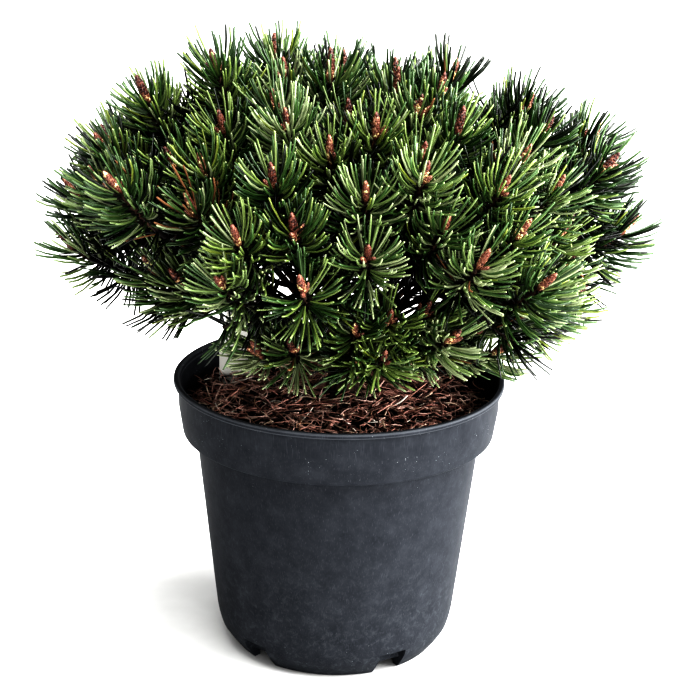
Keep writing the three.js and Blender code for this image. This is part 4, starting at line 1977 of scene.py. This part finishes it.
        row = self.clear_of_pot(row, rng)
        taper = SHEATHED_TAPER if habit.sheathed else PLAIN_TAPER
        points, faces, bands = row.arrays(taper, rng)
        tips = row.roots + row.lengths[:, None] * unit(row.root_ways + row.tip_ways)
        needles.add(points, faces, self.deal_looks(bands, habit, self.shade.steps(tips), rng))

    def clear_of_pot(self, row: NeedleRow, rng: Generator) -> NeedleRow:
        """Drops the needles that would dip into the medium or the lip, hang below the others or
        cross a gap, and thins the label's view.

        Args:
            row: the needles.
            rng: the source of chance.

        Returns:
            The needles that stay.
        """
        half = row.lengths[:, None] / 2
        ends = row.roots + (row.root_ways + row.tip_ways) * half
        halfway = row.roots + (0.75 * row.root_ways + 0.25 * row.tip_ways) * half
        x, y, z = ends.T
        radius = np.hypot(x, y)
        pot = self.medium.pot
        inwards, outwards = self.lip_band
        inside = radius < pot.lip_radius - inwards
        over_lip = ~inside & (radius < pot.lip_radius + outwards)
        ground = np.array([self.medium.height(*place) for place in ends[:, :2]])
        keep = ~inside | (z > ground + self.ground_clear)
        keep &= ~(over_lip & (z < pot.height + self.lip_clear))
        keep &= z > self.depth.at(ends)
        left, right, top = self.window
        ahead = self.window_depth - y
        seen = (x > left) & (x < right) & (ahead > 0) & (z < top + self.window_slope * ahead)
        keep &= ~(seen & (rng.random(len(ends)) < self.window_thinned))
        for places in (ends, halfway, (ends + halfway) / 2):
            keep &= ~self.in_gap(places)
        parts = (row.roots, row.root_ways, row.tip_ways, row.lengths, row.radii)
        return NeedleRow(*(part[keep] for part in parts))

    def in_gap(self, places: Array) -> Array:
        """Says whether each point lies in a gap that slants through the crown between sprays.

        Args:
            places: points in millimetres.

        Returns:
            True for each point that does.
        """
        inside = np.zeros(len(places), bool)
        for front_x, front_z, back_x, back_z, radius in self.gaps:
            start = np.array([front_x, -self.gap_depth, front_z])
            way = unit(np.array([back_x, self.gap_depth, back_z]) - start)
            inside |= np.linalg.norm(np.cross(places - start, way), axis=1) < radius
        return inside

    def deal_looks(self, bands: Array, habit: SprayHabit, shade: Array, rng: Generator) -> Array:
        """Deals plain colours to a spray's needles: one tone for the spray, varied a little. The
        sort's tone and the place's steps paint the crown's light and shade into the needles.

        Args:
            bands: the band of each triangle of one needle.
            habit: how the spray stands.
            shade: by how many steps each needle is darker for its place.
            rng: the source of chance.

        Returns:
            The material number of each triangle.
        """
        count = len(shade)
        # painted light and shade: the sort's tone and the place's steps pick each needle's green
        tone = habit.tone + rng.normal(0, self.spray_spread) + shade
        darkest = GREENS.index(Green.DEEP if habit.sheathed else Green.SHADE)
        body = np.clip(np.round(tone + rng.normal(0, self.needle_spread, count)), 0, darkest)
        body = body.astype(int)
        chance = rng.random(count)
        body[chance < self.yellowed] = GREENS.index(Green.YELLOW)
        body[chance > 1 - habit.dead] = GREENS.index(Green.DEAD)
        pale_enough = body <= GREENS.index(Green.LEAF)
        tipped = (rng.random(count) < self.pale_tipped) & pale_enough
        if habit.sheathed and rng.random() < self.fresh_sprays:
            bright = body <= GREENS.index(Green.BRIGHT)
            body[bright & (rng.random(count) < self.fresh_needles)] = GREENS.index(Green.FRESH)
        looks = np.repeat(body[:, None], len(bands), axis=1)
        looks[np.ix_(tipped, bands == bands.max())] = GREENS.index(Green.TIP)
        if habit.sheathed:
            looks[:, bands == 0] = GREENS.index(Green.SHEATH)
        return looks.ravel()

    def set_buds(self, shoot: Shoot, buds: Heap, rng: Generator) -> None:
        """Sets the end bud and its smaller neighbours on a leading shoot.

        Args:
            shoot: the shoot.
            buds: where bud scales go.
            rng: the source of chance.
        """
        lift = self.bud_lift * UP * rng.uniform(0, 1)
        axis = unit(shoot.axis + lift + rng.normal(0, self.bud_spread, 3))
        size = rng.uniform(*self.bud_sizes)
        self.bud.add(shoot.twig.end, axis, size, buds, rng)
        turn = 2 * math.pi * rng.random()
        for number in range(int(rng.choice(self.neighbours))):
            angle = turn + number * self.side_turn
            sideways = turned_about(axis, angle, np.array([0.3, 0.1, 1.0]))
            way = unit(axis + self.neighbour_lean * sideways)
            back = axis * rng.uniform(0, self.neighbour_back)
            foot = shoot.twig.end + sideways * self.neighbour_out - back
            self.bud.add(foot, way, size * rng.uniform(*self.neighbour_sizes), buds, rng)


@dataclass
class Limbs:
    """The trunk and the boughs as one mesh with the bark's relief."""

    growth: Growth
    medium: GrowingMedium
    foot_girth: float = 12
    top_girth: float = 9.5
    flare: float = 5
    flare_fall: float = 9
    trunk_sunk: float = 3
    trunk_grid: tuple[int, int] = (36, 36)
    trunk_relief: float = 0.9
    bough_girth: float = 2.8
    bough_tip: float = 2.3
    bough_grid: tuple[int, int] = (12, 30)
    bough_relief: float = 0.45
    plate_pitch: float = 0.32
    plate_stretch: float = 0.6
    flake_pitch: float = 0.9
    finish: ScalyBark = ScalyBark()

    def add_limb(
        self, bm: BMesh, arc: Arc, girth: Girth, grid: tuple[int, int], relief: float
    ) -> None:
        """Wraps a grid round a curve as a limb with ridged bark, and closes its ends.

        Args:
            bm: where the limb goes.
            arc: its centre line.
            girth: its radius at a share of the line.
            grid: how many sides it has, and how many steps along.
            relief: how far the bark stands proud.
        """
        sides, steps = grid
        made = bmesh.ops.create_grid(bm, x_segments=sides, y_segments=steps, size=1)["verts"]
        hint = np.cross(arc.end - arc.start, arc.bend - arc.start) + 1e-3
        for vert in made:
            share = (vert.co.y + 1) / 2
            way = arc.heading(share)
            out = turned_about(way, math.pi * (vert.co.x + 1), np.cross(hint, way))
            spot = Vector(arc.at(share) + out * girth(share))
            stretched = Vector((spot.x, spot.y, spot.z * self.plate_stretch))
            plates = noise.noise(stretched * self.plate_pitch)
            flakes = noise.noise(spot * self.flake_pitch)
            vert.co = spot + Vector(out) * relief * (plates + 0.5 * flakes)
        bmesh.ops.remove_doubles(bm, verts=made, dist=0.01)
        rims = [edge for edge in bm.edges if edge.is_boundary]
        bmesh.ops.holes_fill(bm, edges=rims, sides=0)

    def build(self) -> Object:
        """Builds the trunk and boughs, and dresses them.

        Returns:
            The limbs, as one piece.
        """
        bm = bmesh.new()
        foot = self.medium.height(0, 0) + 0.3
        trunk = self.growth.trunk(foot)
        sunk = Arc(trunk.start - self.trunk_sunk * UP, trunk.bend, trunk.end)

        def trunk_girth(share: float) -> float:
            """The trunk's radius at a share of its height."""
            taper = self.foot_girth + (self.top_girth - self.foot_girth) * share
            return taper + self.flare * math.exp(-self.flare_fall * share)

        def bough_girth(share: float) -> float:
            """A bough's radius at a share of its length."""
            return self.bough_girth + (self.bough_tip - self.bough_girth) * share

        self.add_limb(bm, sunk, trunk_girth, self.trunk_grid, self.trunk_relief)
        for bough in self.growth.boughs():
            line = self.growth.bough_line(bough, trunk)
            self.add_limb(bm, line, bough_girth, self.bough_grid, self.bough_relief)
        bmesh.ops.recalc_face_normals(bm, faces=bm.faces)
        limbs = piece_from_bmesh(bm, "trunk_and_boughs")
        names = ["trunk", *(f"bough_{bough.name}" for bough in self.growth.boughs())]
        return settle(limbs, [self.finish.material()], names)


# ---- the label


@dataclass
class PlantLabel:
    """The blank label: a strip pushed into the medium, its upper panel bent back."""

    medium: GrowingMedium
    x: float = -84
    y: float = 45
    width: float = 27
    thickness: float = 0.8
    buried: float = 12
    lower: float = 28
    upper: float = 46
    corner_rounding: float = 2.5
    lean_right: float = 10
    lean_back: float = 14
    turn: float = -8
    fold: float = 4
    crisp_angle: float = 30
    finish: LabelSheet = LabelSheet()

    def build(self) -> Object:
        """Builds the strip, folded over a few millimetres, and dresses it.

        Returns:
            The label.
        """
        bm = bmesh.new()
        bottom, top = -self.buried - self.lower, self.upper
        bmesh.ops.create_grid(bm, x_segments=4, y_segments=46, size=0.5)
        for vert in bm.verts:
            vert.co = (vert.co.x * self.width, 0, bottom + (vert.co.y + 0.5) * (top - bottom))
        corners = [v for v in bm.verts if v.co.z > top - 0.1 and abs(v.co.x) > self.width / 2 - 0.1]
        round_off(bm, corners, self.corner_rounding, "VERTICES", segments=4)
        sideways = Matrix.Rotation(math.radians(self.lean_right), 4, "Y")
        lean = sideways @ Matrix.Rotation(math.radians(-self.lean_back), 4, "X")
        for vert in bm.verts:
            share = share_between(vert.co.z, -self.fold, self.fold)
            share = share * share * (3 - 2 * share)
            vert.co = vert.co.lerp(lean @ vert.co, share)
        bmesh.ops.solidify(bm, geom=bm.faces, thickness=self.thickness)
        bmesh.ops.recalc_face_normals(bm, faces=bm.faces)
        ground = self.medium.height(self.x, self.y) + self.lower
        turn = Matrix.Rotation(math.radians(self.turn), 4, "Z")
        place = Matrix.Translation((self.x, self.y, ground)) @ turn
        bmesh.ops.transform(bm, matrix=place, verts=bm.verts)
        label = piece_from_bmesh(bm, "blank_plant_label")
        soften(label, self.crisp_angle)
        return settle(label, [self.finish.material()], ["plant_label"])


# ---- the studio


@dataclass(frozen=True)
class Softbox:
    """A square panel of light that faces the plant: its watts, its side and place in metres."""

    name: str
    power: float
    side: float
    place: Triple


@dataclass
class Studio:
    """A plain pale floor, soft light from above and the right, and the camera, in metres."""

    camera_place: Triple = (0.0, -1.5, 0.757)
    yaw: float = 0.245
    pitch: float = 18.90
    roll: float = 1.25
    focal_pixels: float = 2024
    frame_pixels: float = 696
    farthest: float = 60.0
    card_tones: Stops = ((0.3, "#c6c6c5"), (0.7, "#cacac9"))
    card_tooth: float = 25.0
    sky_way: Triple = (0.52, 0.0, 0.85)
    sky_from: float = -0.3
    sky_dim: float = 0.07
    sky_bright: float = 1.9
    horizon: float = 0.08
    sun: float = 4.3
    sun_softness: float = 50
    sun_place: Triple = (0.3, -0.3, 1.5)
    aim_height: float = 0.25
    softboxes: tuple[Softbox, ...] = (
        Softbox("softbox", 102, 1.6, (1.9, -0.4, 0.8)),
        Softbox("low_fill", 24, 0.9, (0.4, -2.1, 0.3)),
    )
    gamma: float = 0.8

    def build_floor(self) -> Object:
        """Lays the floor: matt white card with a faint tooth.

        Returns:
            The floor.
        """
        bm = bmesh.new()
        bmesh.ops.create_grid(bm, x_segments=1, y_segments=1, size=self.farthest / MM)
        floor = piece_from_bmesh(bm, "studio_floor", smooth=False)
        material, tree, shader = shader_of("matt_white_card", Roughness=0.9, IOR=1.45)
        place = add_node(tree, "TexCoord").outputs["Object"]
        inputs = {"Vector": place, "Scale": 1 / (self.card_tooth * MM)}
        tooth = add_node(tree, "TexNoise", inputs=inputs).outputs["Fac"]
        tone = add_node(tree, "ValToRGB", inputs={"Fac": tooth}, stops=self.card_tones)
        tree.links.new(tone.outputs["Color"], shader.inputs["Base Color"])
        floor.data.materials.append(material)
        return floor

    def build_sky(self) -> None:
        """Makes the sky: brightest high on the right, and white just under the horizon, beyond
        the far edge of the floor."""
        world = bpy.data.worlds.new("studio_sky")
        world.use_nodes = True
        tree = world.node_tree
        background = tree.nodes["Background"]
        way = add_node(tree, "TexCoord").outputs["Generated"]
        inputs = {0: way, 1: self.sky_way}
        towards = add_node(tree, "VectorMath", {"operation": "DOT_PRODUCT"}, inputs)
        limits = {"From Min": self.sky_from, "To Min": self.sky_dim, "To Max": self.sky_bright}
        inputs = {"Value": towards.outputs["Value"], **limits}
        strength = add_node(tree, "MapRange", inputs=inputs).outputs[0]
        upward = add_node(tree, "SeparateXYZ", inputs={0: way}).outputs["Z"]
        inputs = {0: upward, 1: -self.horizon / 2, 2: self.horizon / 2}
        beyond = add_node(tree, "Math", {"operation": "COMPARE"}, inputs).outputs[0]
        inputs = {0: beyond, 1: self.sky_bright, 2: strength}
        lit = add_node(tree, "Math", {"operation": "MULTIPLY_ADD"}, inputs).outputs[0]
        background.inputs["Color"].default_value = (1, 1, 1, 1)
        tree.links.new(lit, background.inputs["Strength"])
        bpy.context.scene.world = world

    def build_lamps(self) -> None:
        """Hangs one broad sun and the softboxes."""
        sun = bpy.data.lights.new("soft_key", "SUN")
        sun.energy = self.sun
        sun.angle = math.radians(self.sun_softness)
        lamps = [(sun, Vector((0, 0, 0)), Vector(self.sun_place))]
        for box in self.softboxes:
            panel = bpy.data.lights.new(box.name, "AREA")
            panel.energy = box.power
            panel.size = box.side
            place = Vector(box.place)
            lamps.append((panel, place, place - Vector((0, 0, self.aim_height))))
        for light, place, aim in lamps:
            lamp = bpy.data.objects.new(light.name, light)
            lamp.location = place
            lamp.rotation_euler = aim.to_track_quat("Z", "Y").to_euler()
            bpy.context.scene.collection.objects.link(lamp)

    def build_camera(self) -> None:
        """Places the camera, level with the crown's top and tilted down."""
        yaw, pitch, roll = (math.radians(a) for a in (self.yaw, self.pitch, self.roll))
        outwards = math.cos(pitch)
        ahead = Vector((math.sin(yaw) * outwards, math.cos(yaw) * outwards, -math.sin(pitch)))
        level = Vector((math.cos(yaw), -math.sin(yaw), 0))
        upright = level.cross(ahead)
        right = math.cos(roll) * level + math.sin(roll) * upright
        up = -math.sin(roll) * level + math.cos(roll) * upright
        data = bpy.data.cameras.new("camera")
        data.sensor_width = 36
        data.lens = data.sensor_width * self.focal_pixels / self.frame_pixels
        data.clip_end = self.farthest
        camera = bpy.data.objects.new("camera", data)
        turn = Matrix((right, up, -ahead)).transposed().to_4x4()
        camera.matrix_world = Matrix.Translation(self.camera_place) @ turn
        bpy.context.scene.collection.objects.link(camera)
        bpy.context.scene.camera = camera

    def build(self) -> None:
        """Builds the whole studio."""
        self.build_floor()
        self.build_sky()
        self.build_lamps()
        self.build_camera()
        view = bpy.context.scene.view_settings
        view.view_transform = "Standard"
        view.look = "Very High Contrast"
        view.gamma = self.gamma


def main() -> None:
    """Builds the pot, the medium, the label, the limbs, the foliage and the studio."""
    logging.basicConfig(level=logging.INFO, format="%(message)s")
    growth = Growth()
    pot = NurseryPot()
    medium = GrowingMedium(pot)
    pot.build()
    medium.build_body()
    medium.build_litter()
    PlantLabel(medium).build()
    Limbs(growth, medium).build()
    Foliage(growth, medium).build()
    Studio().build()


if __name__ == "__main__":
    main()
